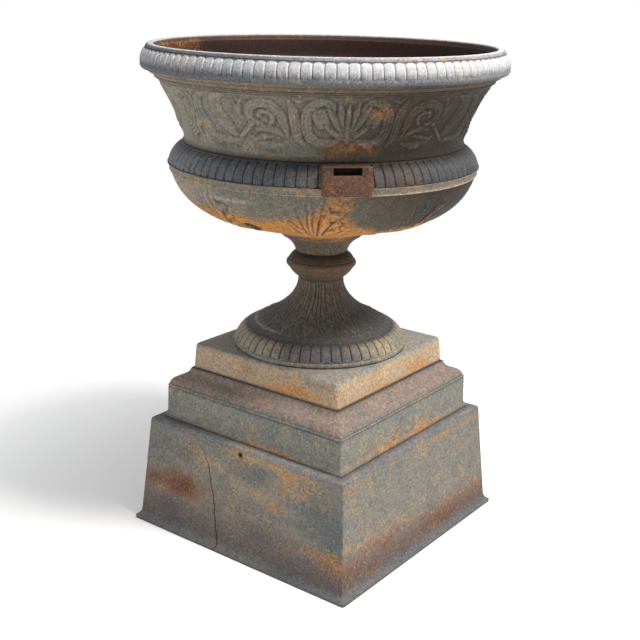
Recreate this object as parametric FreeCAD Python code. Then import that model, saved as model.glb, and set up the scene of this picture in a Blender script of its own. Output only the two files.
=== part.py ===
import FreeCAD, Part
import math
import os

# A garden urn of bolted iron castings: a bowl in two halves and a stem, held on a square slab by one
# tie rod, standing on a plinth of a moulded cap and a box of four plates. Millimetres, floor at z = 0.

# Heights of the castings, stacked from the floor up
BOX_HEIGHT = 252.0
CAP_HEIGHT = 115.0
SLAB_HEIGHT = 57.0
STEM_HEIGHT = 246.0
LOWER_BOWL_HEIGHT = 203.0
UPPER_BOWL_HEIGHT = 197.0

# Plinth box: four mitred plates with a flared lip at the floor
BOX_MARGIN = 20.5
BOX_TAPER = 18.5
LIP_REACH = 12.5
LIP_EDGE = 7.0
FLARE_HEIGHT = 26.0
FLARE_HOLLOW = 3.0
BOX_EDGE_RADIUS = 8.0
BOX_WALL = 12.0
LEDGE_THICKNESS = 10.0
MITRE_FLANGE_THICKNESS = 10.0
MITRE_FLANGE_DEPTH = 42.0
MITRE_BOLT_INSET = 26.0
MITRE_BOLT_SHARE = 0.25
MITRE_FLANGE_FOOT = 20.0
FIXING_HOLE_RADIUS = 4.0
FIXING_HOLE_DROP = 16.0

# Plinth cap: an upright face, flared at its foot, under a bead and an ogee
OGEE_REACH = 38.0
CAP_FACE_TAPER = 1.0
CAP_FLARE = 6.5
CAP_FLARE_HEIGHT = 24.0
CAP_FLARE_HOLLOW = 2.0
CAP_FACE_HEIGHT = 72.0
CAP_BEAD = 5.0
CAP_BEAD_SWELL = 2.0
OGEE_SWELL = 3.5
CAP_WALL = 12.0
CAP_OPENING = 300.0
CAP_LUG_WIDTH = 44.0
CAP_LUG_DEPTH = 32.0
UPSTAND_HEIGHT = 10.0
UPSTAND_WALL = 10.0

# Slab: the urn's own square foot plate, hollow underneath
SLAB_FOOT_WIDTH = 401.0
SLAB_TOP_WIDTH = 393.0
SLAB_CORNER_RADIUS = 12.0
SLAB_EDGE_RADIUS = 7.0
SLAB_WALL = 14.0
SLAB_MARGIN = 2.5

# Stem: ribbed foot, dome, trumpet, knop and neck, hollow from end to end
FOOT_RADIUS = 192.0
FOOT_RAIL = 11.0
FOOT_STEP = 3.0
FOOT_LOBE_TOP_RADIUS = 161.0
FOOT_LOBE_HEIGHT = 32.0
FOOT_LOBE_SWELL = 4.5
FOOT_LOBE_COUNT = 52
DOME_TOP_RADIUS = 118.0
DOME_HEIGHT = 21.0
DOME_SWELL = 3.0
STEM_RADIUS = 52.0
STEM_DROP = 98.0
KNOP_RADIUS = 77.0
KNOP_DROP = 64.0
KNOP_BAND = 12.0
KNOP_SWELL = 4.0
COLLAR_RADIUS = 56.0
COLLAR_DROP = 91.0
NECK_RADIUS = 58.0
NECK_DROP = 37.0
NECK_HOLLOW = 5.0
STEM_TOP_RADIUS = 88.0
STEM_WALL = 11.0
STEM_BORE_RADIUS = 40.0

# Lower bowl: cup, ribbed shoulder, two handle sockets, a drain hole and an inward flange
CUP_FOOT_RADIUS = 92.0
CUP_BELLY_RADIUS = 254.0
CUP_BELLY_HEIGHT = 59.0
CUP_SIDE_RADIUS = 300.0
CUP_SIDE_HEIGHT = 97.0
CUP_TOP_RADIUS = 324.0
SHOULDER_DROP = 57.0
SHOULDER_RADIUS = 330.0
SHOULDER_RAIL = 9.0
SHOULDER_SWELL = 4.5
SHOULDER_LOBE_COUNT = 96
BOWL_WALL = 10.0
BOWL_FLOOR = 12.0
FLOOR_RADIUS = 60.0
SPIGOT_HEIGHT = 8.0
SOCKET_WIDTH = 94.0
SOCKET_REACH = 334.0
SLOT_WIDTH = 53.0
SLOT_HEIGHT = 14.0
SLOT_DEPTH = 27.0
SLOT_ROOF = 3.0
SOCKET_ANGLE = -45.0
DRAIN_RADIUS = 17.0
DRAIN_PITCH_RADIUS = 257.0
DRAIN_ANGLE = -85.0

# Upper bowl: frieze wall, cove and ribbed rim
UPPER_FOOT_RADIUS = 297.0
WAIST_RADIUS = 294.0
WAIST_HEIGHT = 11.0
FRIEZE_PULL_RADIUS = 316.0
FRIEZE_PULL_HEIGHT = 82.0
FRIEZE_TOP_RADIUS = 350.0
FILLET_STEP = 2.5
COVE_HEIGHT = 20.0
COVE_HOLLOW = 3.0
RIM_DROP = 47.0
RIM_BASE_RADIUS = 378.0
RIM_RADIUS = 381.0
RIM_WIDEST = 14.0
RIM_TOP_RADIUS = 370.0
RIM_SWELL = 3.5
RIM_ROLL = 4.0
LIP_OUTER_RADIUS = 361.0
MOUTH_RADIUS = 352.0
RIM_LOBE_COUNT = 112

# Bolted joint between the bowl halves
FLANGE_THICKNESS = 12.0
FLANGE_INNER_RADIUS = 262.0
BOWL_BOLT_COUNT = 6
BOWL_BOLT_CIRCLE = 273.0

# Fasteners, square headed, and the grooves between the ribs
BOLT_RADIUS = 5.0
BOLT_HEAD_WIDTH = 15.0
BOLT_HEAD_HEIGHT = 7.0
NUT_HEIGHT = 8.0
BOLT_TAIL = 3.0
ROD_RADIUS = 8.0
ROD_NUT_WIDTH = 26.0
ROD_NUT_HEIGHT = 13.0
ROD_TAIL = 6.0
TOP_WASHER_RADIUS = 26.0
TOP_WASHER_THICKNESS = 4.0
CLAMP_PLATE_WIDTH = 80.0
CLAMP_PLATE_THICKNESS = 8.0
HOLE_CLEARANCE = 0.75
THREAD_CLEARANCE = 0.1
SEAT_CLEARANCE = 0.5
UPSTAND_CLEARANCE = 2.0
GROOVE_WIDTH = 3.0
GROOVE_DEPTH = 3.0
GROOVE_REACH = 12.0
GROOVE_END_SHARE = 0.12

# Floors of the castings in the stack, and the levels that two pieces share
CAP_Z = BOX_HEIGHT
SLAB_Z = CAP_Z + CAP_HEIGHT
STEM_Z = SLAB_Z + SLAB_HEIGHT
LOWER_BOWL_Z = STEM_Z + STEM_HEIGHT
UPPER_BOWL_Z = LOWER_BOWL_Z + LOWER_BOWL_HEIGHT

# Widths of the plinth, each set out from the one above it
CAP_TOP_WIDTH = SLAB_FOOT_WIDTH + 2 * SLAB_MARGIN
CAP_SHOULDER_WIDTH = CAP_TOP_WIDTH + 2 * OGEE_REACH
CAP_FOOT_WIDTH = CAP_SHOULDER_WIDTH + 2 * (CAP_FACE_TAPER + CAP_FLARE)
BOX_TOP_WIDTH = CAP_FOOT_WIDTH + 2 * BOX_MARGIN
BOX_FOOT_WIDTH = BOX_TOP_WIDTH + 2 * BOX_TAPER
LIP_WIDTH = BOX_FOOT_WIDTH + 2 * LIP_REACH
SLAB_INNER_FOOT = SLAB_FOOT_WIDTH / 2 - SLAB_WALL
CAP_INNER_FOOT = CAP_FOOT_WIDTH / 2 - CAP_WALL
LEDGE_INNER = CAP_INNER_FOOT - CAP_LUG_DEPTH

# Holes
BOLT_HOLE_RADIUS = BOLT_RADIUS + HOLE_CLEARANCE
ROD_HOLE_RADIUS = ROD_RADIUS + HOLE_CLEARANCE

SIDES = {"front": 0, "right": 90, "back": 180, "left": 270}
CORNERS = [angle + 45 for angle in SIDES.values()]

V = FreeCAD.Vector
ORIGIN = V(0, 0, 0)
UP = V(0, 0, 1)


# Profiles are drawn in the XZ plane as (distance from the axis, height)
def at(point):
    return V(point[0], 0, point[1])


def bulged(start, end, swell):
    """Arc from start to end whose middle lies swell to the right of the straight run."""
    run = at(end) - at(start)
    side = V(run.z, 0, -run.x).normalize() * swell
    middle = (at(start) + at(end)) * 0.5 + side
    return Part.Arc(at(start), middle, at(end)).toShape()


def bent(points):
    """One Bezier curve with these control points."""
    curve = Part.BezierCurve()
    curve.setPoles([at(p) for p in points])
    return curve.toShape()


def smooth(points):
    """One spline through these points."""
    curve = Part.BSplineCurve()
    curve.interpolate([at(p) for p in points])
    return curve.toShape()


def straight(start, end):
    return Part.LineSegment(at(start), at(end)).toShape()


def outline(start, *steps):
    """Closed face from a start point and steps: (r, z) is straight to there, (r, z, swell) an arc,
    ("bend", points) a Bezier curve and ("through", points) a spline."""
    edges = []
    here = start
    for step in steps + (start,):
        if step[0] == "bend":
            edges.append(bent([here] + step[1]))
            here = step[1][-1]
        elif step[0] == "through":
            edges.append(smooth([here] + step[1]))
            here = step[1][-1]
        elif len(step) == 3:
            edges.append(bulged(here, step[:2], step[2]))
            here = step[:2]
        else:
            edges.append(straight(here, step))
            here = step
    return Part.Face(Part.Wire(edges))


def turned(face):
    return face.revolve(ORIGIN, UP, 360)


def inset(points, wall):
    """The points moved inwards by the wall, square to the line through their neighbours."""
    moved = []
    for i, (r, z) in enumerate(points):
        before = points[max(i - 1, 0)]
        after = points[min(i + 1, len(points) - 1)]
        along = V(after[0] - before[0], after[1] - before[1], 0).normalize()
        moved.append((r - wall * along.y, z + wall * along.x))
    return moved


def square_solid(start, *steps):
    """Square moulding: the half profile run along Y, with its other half opposite, and the same turned
    to run along X. What both runs share has mitred corners."""
    half = outline(start, *steps)
    reach = half.BoundBox.XMax
    half.translate(V(0, -reach, 0))
    run = half.extrude(V(0, 2 * reach, 0))
    along_y = run.fuse(round_about(run, 180)).removeSplitter()
    return along_y.common(round_about(along_y, 90))


def square_block(width, low, high):
    return Part.makeBox(width, width, high - low, V(-width / 2, -width / 2, low))


def cylinder(radius, low, high, x=0.0, y=0.0):
    return Part.makeCylinder(radius, high - low, V(x, y, low))


def round_about(shape, angle):
    copy = shape.copy()
    copy.rotate(ORIGIN, UP, angle)
    return copy


def lifted(shape, height):
    shape.translate(V(0, 0, height))
    return shape


# Lobes: narrow grooves across a swelling moulding, which stop short of both its edges
def grooves(count, low, high, swell, skip=None):
    """Grooves round the axis across the moulding that swells from low to high in the XZ plane. Each
    has the moulding's own arc for its bottom. skip says which angles, in degrees, get none."""
    run = at(high) - at(low)
    out = V(run.z, 0, -run.x).normalize()
    middle = (at(low) + at(high)) * 0.5 + out * swell
    moulding = Part.Arc(at(low), middle, at(high)).toShape()
    first, last = moulding.ParameterRange
    shares = (GROOVE_END_SHARE, 0.5, 1 - GROOVE_END_SHARE)
    bottom = [moulding.valueAt(first + share * (last - first)) - out * GROOVE_DEPTH for share in shares]
    mouth = [bottom[2] + out * GROOVE_REACH, bottom[0] + out * GROOVE_REACH]
    edges = [
        Part.Arc(*bottom).toShape(),
        Part.LineSegment(bottom[2], mouth[0]).toShape(),
        Part.LineSegment(mouth[0], mouth[1]).toShape(),
        Part.LineSegment(mouth[1], bottom[0]).toShape(),
    ]
    blade = Part.Face(Part.Wire(edges))
    blade.translate(V(0, -GROOVE_WIDTH / 2, 0))
    blade = blade.extrude(V(0, GROOVE_WIDTH, 0))
    pitch = 360.0 / count
    angles = [(i + 0.5) * pitch for i in range(count)]
    return Part.Compound([round_about(blade, a) for a in angles if not (skip and skip(a))])


# Fasteners stand on z = 0 with the shank downwards, and are then turned and moved to their seats
def square_bolt(grip):
    length = grip + NUT_HEIGHT + BOLT_TAIL
    head = square_block(BOLT_HEAD_WIDTH, 0, BOLT_HEAD_HEIGHT)
    return head.fuse(cylinder(BOLT_RADIUS, -length, 0)).removeSplitter()


def square_nut(grip):
    nut = square_block(BOLT_HEAD_WIDTH, -grip - NUT_HEIGHT, -grip)
    return nut.cut(cylinder(BOLT_RADIUS + THREAD_CLEARANCE, -grip - NUT_HEIGHT, -grip))


def placed(shape, position, direction=UP, spin=0.0):
    """A fastener turned about its own shank, pointed along direction and moved to position."""
    copy = shape.copy()
    copy.rotate(ORIGIN, UP, spin)
    turn = FreeCAD.Rotation(UP, direction)
    copy.Placement = FreeCAD.Placement(position, turn).multiply(copy.Placement)
    return copy


def box_shell():
    """The whole box before it is parted at the mitres: outer taper, lip, ledge and corner flanges."""
    lip = LIP_WIDTH / 2
    foot = BOX_FOOT_WIDTH / 2
    top = BOX_TOP_WIDTH / 2
    shoulder = BOX_HEIGHT - BOX_EDGE_RADIUS
    edge_swell = BOX_EDGE_RADIUS * (1 - math.sqrt(0.5))
    outer = square_solid(
        (0, 0),
        (lip, 0),
        (lip, LIP_EDGE),
        (foot, FLARE_HEIGHT, -FLARE_HOLLOW),
        (top, shoulder),
        (top - BOX_EDGE_RADIUS, BOX_HEIGHT, edge_swell),
        (0, BOX_HEIGHT),
    )
    ledge = BOX_HEIGHT - LEDGE_THICKNESS
    inner_foot = foot - BOX_WALL
    inner_top = top - BOX_WALL
    hollow = square_solid(
        (0, 0),
        (lip - BOX_WALL, 0),
        (inner_foot, FLARE_HEIGHT),
        (inner_top, ledge),
        (0, ledge),
    )
    opening = square_block(2 * LEDGE_INNER, ledge, BOX_HEIGHT)
    shell = outer.cut(hollow).cut(opening)
    # A flange on each side of every mitre, running in from the corner of the wall
    diagonal = math.sqrt(2)
    inner = inner_top * diagonal - MITRE_FLANGE_DEPTH
    flange = Part.makeBox(
        lip * diagonal - inner,
        2 * MITRE_FLANGE_THICKNESS,
        ledge - MITRE_FLANGE_FOOT,
        V(inner, -MITRE_FLANGE_THICKNESS, MITRE_FLANGE_FOOT),
    )
    flange = flange.cut(mitre_holes())
    for corner in CORNERS:
        shell = shell.fuse(round_about(flange, corner).common(outer))
    shell = shell.removeSplitter()
    for side in SIDES.values():
        shell = shell.cut(round_about(cap_bolt_hole(), side))
    return shell


def mitre_bolt_place():
    """Distance of the mitre bolts from the axis, along the diagonal."""
    corner = (BOX_TOP_WIDTH / 2 - BOX_WALL) * math.sqrt(2)
    return corner - MITRE_BOLT_INSET


def mitre_bolt_heights():
    """Two heights, each the same share of the flange in from one of its ends."""
    top = BOX_HEIGHT - LEDGE_THICKNESS
    inset_height = (top - MITRE_FLANGE_FOOT) * MITRE_BOLT_SHARE
    return (MITRE_FLANGE_FOOT + inset_height, top - inset_height)


def mitre_holes():
    holes = []
    for z in mitre_bolt_heights():
        start = V(mitre_bolt_place(), -MITRE_FLANGE_THICKNESS, z)
        holes.append(Part.makeCylinder(BOLT_HOLE_RADIUS, 2 * MITRE_FLANGE_THICKNESS, start, V(0, 1, 0)))
    return Part.Compound(holes)


def cap_bolt_place():
    return CAP_INNER_FOOT - CAP_LUG_DEPTH / 2


def cap_bolt_hole():
    low = BOX_HEIGHT - LEDGE_THICKNESS
    return cylinder(BOLT_HOLE_RADIUS, low, CAP_Z + CAP_WALL, 0, -cap_bolt_place())


def box_plates():
    """The four plates: the shell parted along the diagonals. The front one has a fixing hole."""
    shell = box_shell()
    reach = LIP_WIDTH
    corner_left = V(-reach, -reach, 0)
    corner_right = V(reach, -reach, 0)
    sector = Part.Face(Part.makePolygon([ORIGIN, corner_left, corner_right, ORIGIN]))
    sector = sector.extrude(V(0, 0, BOX_HEIGHT))
    plates = {}
    for name, angle in SIDES.items():
        plates["plinth_side_" + name] = shell.common(round_about(sector, angle))
    hole_height = BOX_HEIGHT - FIXING_HOLE_DROP
    hole_start = V(0, -LIP_WIDTH / 2, hole_height)
    hole_length = LIP_WIDTH / 2 - BOX_TOP_WIDTH / 2 + 2 * BOX_WALL
    hole = Part.makeCylinder(FIXING_HOLE_RADIUS, hole_length, hole_start, V(0, 1, 0))
    plates["plinth_side_front"] = plates["plinth_side_front"].cut(hole)
    return plates


def mitre_fasteners():
    """Two bolts and nuts through the flanges of every mitre."""
    grip = 2 * MITRE_FLANGE_THICKNESS
    across = V(0, -1, 0)
    bolts = []
    nuts = []
    for corner in CORNERS:
        for z in mitre_bolt_heights():
            seat = V(mitre_bolt_place(), -MITRE_FLANGE_THICKNESS, z)
            bolts.append(round_about(placed(square_bolt(grip), seat, across), corner))
            nuts.append(round_about(placed(square_nut(grip), seat, across), corner))
    return Part.Compound(bolts), Part.Compound(nuts)


def plinth_cap():
    foot = CAP_FOOT_WIDTH / 2
    shoulder = CAP_SHOULDER_WIDTH / 2
    top = CAP_TOP_WIDTH / 2
    bead_top = CAP_FACE_HEIGHT + CAP_BEAD
    middle = ((shoulder + top) / 2, (bead_top + CAP_HEIGHT) / 2)
    outer = square_solid(
        (0, 0),
        (foot, 0),
        (shoulder + CAP_FACE_TAPER, CAP_FLARE_HEIGHT, -CAP_FLARE_HOLLOW),
        (shoulder, CAP_FACE_HEIGHT),
        (shoulder, bead_top, CAP_BEAD_SWELL),
        (middle[0], middle[1], OGEE_SWELL),
        (top, CAP_HEIGHT, -OGEE_SWELL),
        (0, CAP_HEIGHT),
    )
    under = CAP_HEIGHT - CAP_WALL
    hollow = square_solid(
        (0, 0),
        (CAP_INNER_FOOT, 0),
        (shoulder - CAP_WALL, CAP_FACE_HEIGHT),
        (top - CAP_WALL, under),
        (0, under),
    )
    cap = outer.cut(hollow).cut(square_block(CAP_OPENING, under, CAP_HEIGHT))
    # Upstand that keeps the slab in the middle
    upstand_width = 2 * (SLAB_INNER_FOOT - UPSTAND_CLEARANCE)
    upstand_top = CAP_HEIGHT + UPSTAND_HEIGHT
    upstand = square_block(upstand_width, CAP_HEIGHT, upstand_top)
    upstand = upstand.cut(square_block(upstand_width - 2 * UPSTAND_WALL, CAP_HEIGHT, upstand_top))
    cap = cap.fuse(upstand)
    # Lugs at the middle of each side, bolted down to the ledge of the box
    lug = Part.makeBox(
        CAP_LUG_WIDTH,
        CAP_LUG_DEPTH + CAP_WALL / 2,
        CAP_WALL,
        V(-CAP_LUG_WIDTH / 2, -CAP_INNER_FOOT - CAP_WALL / 2, 0),
    )
    for side in SIDES.values():
        cap = cap.fuse(round_about(lug, side))
    cap = lifted(cap.removeSplitter(), CAP_Z)
    for side in SIDES.values():
        cap = cap.cut(round_about(cap_bolt_hole(), side))
    return cap


def cap_fasteners():
    grip = CAP_WALL + LEDGE_THICKNESS
    seat = V(0, -cap_bolt_place(), CAP_Z + CAP_WALL)
    bolts = [round_about(placed(square_bolt(grip), seat), side) for side in SIDES.values()]
    nuts = [round_about(placed(square_nut(grip), seat), side) for side in SIDES.values()]
    return Part.Compound(bolts), Part.Compound(nuts)


def rounded_square(width, height):
    """Square wire with rounded corners, level at this height."""
    plate = Part.makeBox(width, width, 1, V(-width / 2, -width / 2, height))
    uprights = [e for e in plate.Edges if abs(e.tangentAt(e.FirstParameter).z) > 0.5]
    plate = plate.makeFillet(SLAB_CORNER_RADIUS, uprights)
    floor = min(plate.Faces, key=lambda f: f.CenterOfMass.z)
    return floor.OuterWire


def base_slab():
    body = Part.makeLoft(
        [rounded_square(SLAB_FOOT_WIDTH, 0), rounded_square(SLAB_TOP_WIDTH, SLAB_HEIGHT)], True, True
    )
    top = max(body.Faces, key=lambda f: f.CenterOfMass.z)
    body = body.makeFillet(SLAB_EDGE_RADIUS, top.Edges)
    plate = SLAB_HEIGHT - SLAB_WALL
    hollow = square_solid(
        (0, 0),
        (SLAB_INNER_FOOT, 0),
        (SLAB_TOP_WIDTH / 2 - SLAB_WALL, plate),
        (0, plate),
    )
    body = body.cut(hollow).cut(cylinder(ROD_HOLE_RADIUS, plate, SLAB_HEIGHT))
    return lifted(body, SLAB_Z)


def stem():
    lobe_foot = (FOOT_RADIUS - FOOT_STEP, FOOT_RAIL)
    lobe_top = (FOOT_LOBE_TOP_RADIUS, FOOT_RAIL + FOOT_LOBE_HEIGHT)
    dome_top = (DOME_TOP_RADIUS, lobe_top[1] + DOME_HEIGHT)
    slim = (STEM_RADIUS, STEM_HEIGHT - STEM_DROP)
    trumpet_pull = (STEM_RADIUS, (dome_top[1] + slim[1]) / 2)
    collar = (COLLAR_RADIUS, STEM_HEIGHT - COLLAR_DROP)
    band_low = STEM_HEIGHT - KNOP_DROP - KNOP_BAND / 2
    band_high = band_low + KNOP_BAND
    band_radius = KNOP_RADIUS - KNOP_SWELL
    neck = (NECK_RADIUS, STEM_HEIGHT - NECK_DROP)
    bore_foot = slim[1] - STEM_WALL
    wall_foot = (FOOT_RADIUS - STEM_WALL, 0)
    inner = inset([wall_foot, lobe_foot, lobe_top, dome_top], STEM_WALL)
    profile = outline(
        (FOOT_RADIUS, 0),
        (FOOT_RADIUS, FOOT_RAIL),
        lobe_foot,
        (lobe_top[0], lobe_top[1], FOOT_LOBE_SWELL),
        (dome_top[0], dome_top[1], DOME_SWELL),
        ("bend", [trumpet_pull, slim]),
        collar,
        (band_radius, band_low),
        (band_radius, band_high, KNOP_SWELL),
        neck,
        (STEM_TOP_RADIUS, STEM_HEIGHT, -NECK_HOLLOW),
        (STEM_BORE_RADIUS, STEM_HEIGHT),
        (STEM_BORE_RADIUS, bore_foot),
        ("bend", [(STEM_BORE_RADIUS, (bore_foot + inner[3][1]) / 2), inner[3]]),
        inner[2],
        inner[1],
        wall_foot,
    )
    body = turned(profile)
    body = body.cut(grooves(FOOT_LOBE_COUNT, lobe_foot, lobe_top, FOOT_LOBE_SWELL))
    return lifted(body, STEM_Z)


def socket_sides():
    return (SOCKET_ANGLE, SOCKET_ANGLE + 180)


def in_socket(angle):
    """True where a groove would run into one of the handle sockets."""
    half_width = math.degrees(math.asin(SOCKET_WIDTH / 2 / SHOULDER_RADIUS))
    pitch = 360.0 / SHOULDER_LOBE_COUNT
    turns = [abs((angle - side + 180) % 360 - 180) for side in socket_sides()]
    return min(turns) < half_width + pitch / 4


def lower_bowl():
    shoulder = LOWER_BOWL_HEIGHT - SHOULDER_DROP
    rail_top = shoulder + SHOULDER_RAIL
    cup = [
        (CUP_FOOT_RADIUS, 0),
        (CUP_BELLY_RADIUS, CUP_BELLY_HEIGHT),
        (CUP_SIDE_RADIUS, CUP_SIDE_HEIGHT),
        (CUP_TOP_RADIUS, shoulder),
    ]
    outer = turned(
        outline(
            (0, 0),
            cup[0],
            ("through", cup[1:]),
            (SHOULDER_RADIUS, shoulder),
            (SHOULDER_RADIUS, rail_top),
            (UPPER_FOOT_RADIUS, LOWER_BOWL_HEIGHT, SHOULDER_SWELL),
            (0, LOWER_BOWL_HEIGHT),
        )
    )
    shoulder_run = ((SHOULDER_RADIUS, rail_top), (UPPER_FOOT_RADIUS, LOWER_BOWL_HEIGHT))
    outer = outer.cut(grooves(SHOULDER_LOBE_COUNT, *shoulder_run, SHOULDER_SWELL, in_socket))
    socket = Part.makeBox(
        SOCKET_REACH, SOCKET_WIDTH, SHOULDER_DROP, V(0, -SOCKET_WIDTH / 2, shoulder)
    )
    for side in socket_sides():
        outer = outer.fuse(round_about(socket, side))
    lining = inset(cup, BOWL_WALL)
    under_flange = LOWER_BOWL_HEIGHT - FLANGE_THICKNESS
    behind_shoulder = UPPER_FOOT_RADIUS
    hollow = turned(
        outline(
            (0, BOWL_FLOOR),
            (FLOOR_RADIUS, BOWL_FLOOR),
            ("through", lining[1:]),
            (behind_shoulder, under_flange),
            (FLANGE_INNER_RADIUS, under_flange),
            (FLANGE_INNER_RADIUS, LOWER_BOWL_HEIGHT),
            (0, LOWER_BOWL_HEIGHT),
        )
    )
    body = outer.removeSplitter().cut(hollow)
    spigot = cylinder(STEM_BORE_RADIUS - SEAT_CLEARANCE, -SPIGOT_HEIGHT, 0)
    body = body.fuse(spigot).removeSplitter()
    body = body.cut(cylinder(ROD_HOLE_RADIUS, -SPIGOT_HEIGHT, BOWL_FLOOR))
    slot_top = LOWER_BOWL_HEIGHT - SLOT_ROOF
    slot = Part.makeBox(
        SLOT_DEPTH,
        SLOT_WIDTH,
        SLOT_HEIGHT,
        V(SOCKET_REACH - SLOT_DEPTH, -SLOT_WIDTH / 2, slot_top - SLOT_HEIGHT),
    )
    for side in socket_sides():
        body = body.cut(round_about(slot, side))
    drain = cylinder(DRAIN_RADIUS, 0, CUP_SIDE_HEIGHT, DRAIN_PITCH_RADIUS, 0)
    body = body.cut(round_about(drain, DRAIN_ANGLE))
    body = lifted(body, LOWER_BOWL_Z)
    return body.cut(bowl_bolt_holes())


def upper_bowl():
    rim_low = UPPER_BOWL_HEIGHT - RIM_DROP
    fillet_low = rim_low - COVE_HEIGHT
    rim_widest = (RIM_RADIUS, rim_low + RIM_WIDEST)
    rim_top = (RIM_TOP_RADIUS, UPPER_BOWL_HEIGHT - RIM_ROLL)
    profile = outline(
        (UPPER_FOOT_RADIUS, 0),
        (WAIST_RADIUS, WAIST_HEIGHT),
        ("bend", [(FRIEZE_PULL_RADIUS, FRIEZE_PULL_HEIGHT), (FRIEZE_TOP_RADIUS, fillet_low)]),
        (FRIEZE_TOP_RADIUS + FILLET_STEP, fillet_low + FILLET_STEP),
        (RIM_BASE_RADIUS, rim_low, -COVE_HOLLOW),
        rim_widest,
        (rim_top[0], rim_top[1], RIM_SWELL),
        (LIP_OUTER_RADIUS, UPPER_BOWL_HEIGHT),
        (MOUTH_RADIUS, UPPER_BOWL_HEIGHT),
        (FRIEZE_TOP_RADIUS - FILLET_STEP, rim_low),
        (
            "bend",
            [
                (FRIEZE_PULL_RADIUS - BOWL_WALL, FRIEZE_PULL_HEIGHT),
                (WAIST_RADIUS - BOWL_WALL, FLANGE_THICKNESS),
            ],
        ),
        (FLANGE_INNER_RADIUS, FLANGE_THICKNESS),
        (FLANGE_INNER_RADIUS, 0),
    )
    body = turned(profile)
    body = body.cut(grooves(RIM_LOBE_COUNT, rim_widest, rim_top, RIM_SWELL))
    body = lifted(body, UPPER_BOWL_Z)
    return body.cut(bowl_bolt_holes())


def bowl_bolt_angles():
    pitch = 360.0 / BOWL_BOLT_COUNT
    return [i * pitch for i in range(BOWL_BOLT_COUNT)]


def bowl_bolt_holes():
    low = UPPER_BOWL_Z - FLANGE_THICKNESS
    high = UPPER_BOWL_Z + FLANGE_THICKNESS
    hole = cylinder(BOLT_HOLE_RADIUS, low, high, BOWL_BOLT_CIRCLE, 0)
    return Part.Compound([round_about(hole, a) for a in bowl_bolt_angles()])


def bowl_fasteners():
    grip = 2 * FLANGE_THICKNESS
    seat = V(BOWL_BOLT_CIRCLE, 0, UPPER_BOWL_Z + FLANGE_THICKNESS)
    bolts = [round_about(placed(square_bolt(grip), seat), a) for a in bowl_bolt_angles()]
    nuts = [round_about(placed(square_nut(grip), seat), a) for a in bowl_bolt_angles()]
    return Part.Compound(bolts), Part.Compound(nuts)


def tie_rod_set():
    """Rod, washer and nut on the bowl floor, and clamp plate and nut under the slab."""
    floor = LOWER_BOWL_Z + BOWL_FLOOR
    washer_top = floor + TOP_WASHER_THICKNESS
    top_nut_top = washer_top + ROD_NUT_HEIGHT
    underside = SLAB_Z + SLAB_HEIGHT - SLAB_WALL
    clamp_low = underside - CLAMP_PLATE_THICKNESS
    low_nut_low = clamp_low - ROD_NUT_HEIGHT
    nut_bore = ROD_RADIUS + THREAD_CLEARANCE
    washer = cylinder(TOP_WASHER_RADIUS, floor, washer_top)
    top_nut = square_block(ROD_NUT_WIDTH, washer_top, top_nut_top)
    clamp = square_block(CLAMP_PLATE_WIDTH, clamp_low, underside)
    low_nut = square_block(ROD_NUT_WIDTH, low_nut_low, clamp_low)
    return {
        "tie_rod": cylinder(ROD_RADIUS, low_nut_low - ROD_TAIL, top_nut_top + ROD_TAIL),
        "rod_washer": washer.cut(cylinder(ROD_HOLE_RADIUS, floor, washer_top)),
        "rod_top_nut": top_nut.cut(cylinder(nut_bore, washer_top, top_nut_top)),
        "rod_clamp_plate": clamp.cut(cylinder(ROD_HOLE_RADIUS, clamp_low, underside)),
        "rod_bottom_nut": low_nut.cut(cylinder(nut_bore, low_nut_low, clamp_low)),
    }


def urn():
    """Every piece of the urn by name."""
    pieces = box_plates()
    pieces["mitre_bolts"], pieces["mitre_nuts"] = mitre_fasteners()
    pieces["plinth_cap"] = plinth_cap()
    pieces["cap_bolts"], pieces["cap_nuts"] = cap_fasteners()
    pieces["base_slab"] = base_slab()
    pieces["stem"] = stem()
    pieces["lower_bowl"] = lower_bowl()
    pieces["upper_bowl"] = upper_bowl()
    pieces["bowl_bolts"], pieces["bowl_nuts"] = bowl_fasteners()
    pieces.update(tie_rod_set())
    return pieces


os.makedirs("parts", exist_ok=True)
for name, shape in urn().items():
    shape.exportStep(os.path.join("parts", name + ".step"))
    print(name, "solids", len(shape.Solids), "valid", shape.isValid(), "volume", round(shape.Volume))
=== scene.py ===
# %% [markdown]
# # A cast iron garden urn on its plinth
# The urn is a stack of iron castings: a bowl in two halves, a stem, a square slab, a moulded cap and a box
# of four plates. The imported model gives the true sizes, and this script dresses it. Each casting that
# shows is built again as a fine surface with its ornament, in the same place and with the same profile,
# and the bolts, nuts and tie rod inside stay as they are and only get a finish.

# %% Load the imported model
import math

import bmesh
import bpy
import numpy as np
from mathutils import Matrix, Vector


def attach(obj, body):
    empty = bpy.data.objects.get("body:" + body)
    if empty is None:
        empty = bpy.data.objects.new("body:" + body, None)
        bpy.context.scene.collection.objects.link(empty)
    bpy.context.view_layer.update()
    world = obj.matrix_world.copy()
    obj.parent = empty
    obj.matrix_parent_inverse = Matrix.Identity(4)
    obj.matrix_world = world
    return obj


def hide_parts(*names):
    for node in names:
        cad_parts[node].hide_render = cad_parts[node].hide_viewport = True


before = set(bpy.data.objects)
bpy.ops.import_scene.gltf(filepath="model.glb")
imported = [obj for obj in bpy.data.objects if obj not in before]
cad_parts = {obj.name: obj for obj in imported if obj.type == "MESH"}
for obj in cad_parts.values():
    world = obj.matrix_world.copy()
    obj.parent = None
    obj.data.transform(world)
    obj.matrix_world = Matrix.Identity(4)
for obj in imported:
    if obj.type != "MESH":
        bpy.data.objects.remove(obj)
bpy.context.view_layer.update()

# %% [markdown]
# ## Levels where the castings meet
# Every casting rests on the one below, so six heights tie the whole stack together. They could be typed in
# again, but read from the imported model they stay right: lengths here are millimetres, as on a drawing, and
# turn into metres when a mesh is made.

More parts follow.
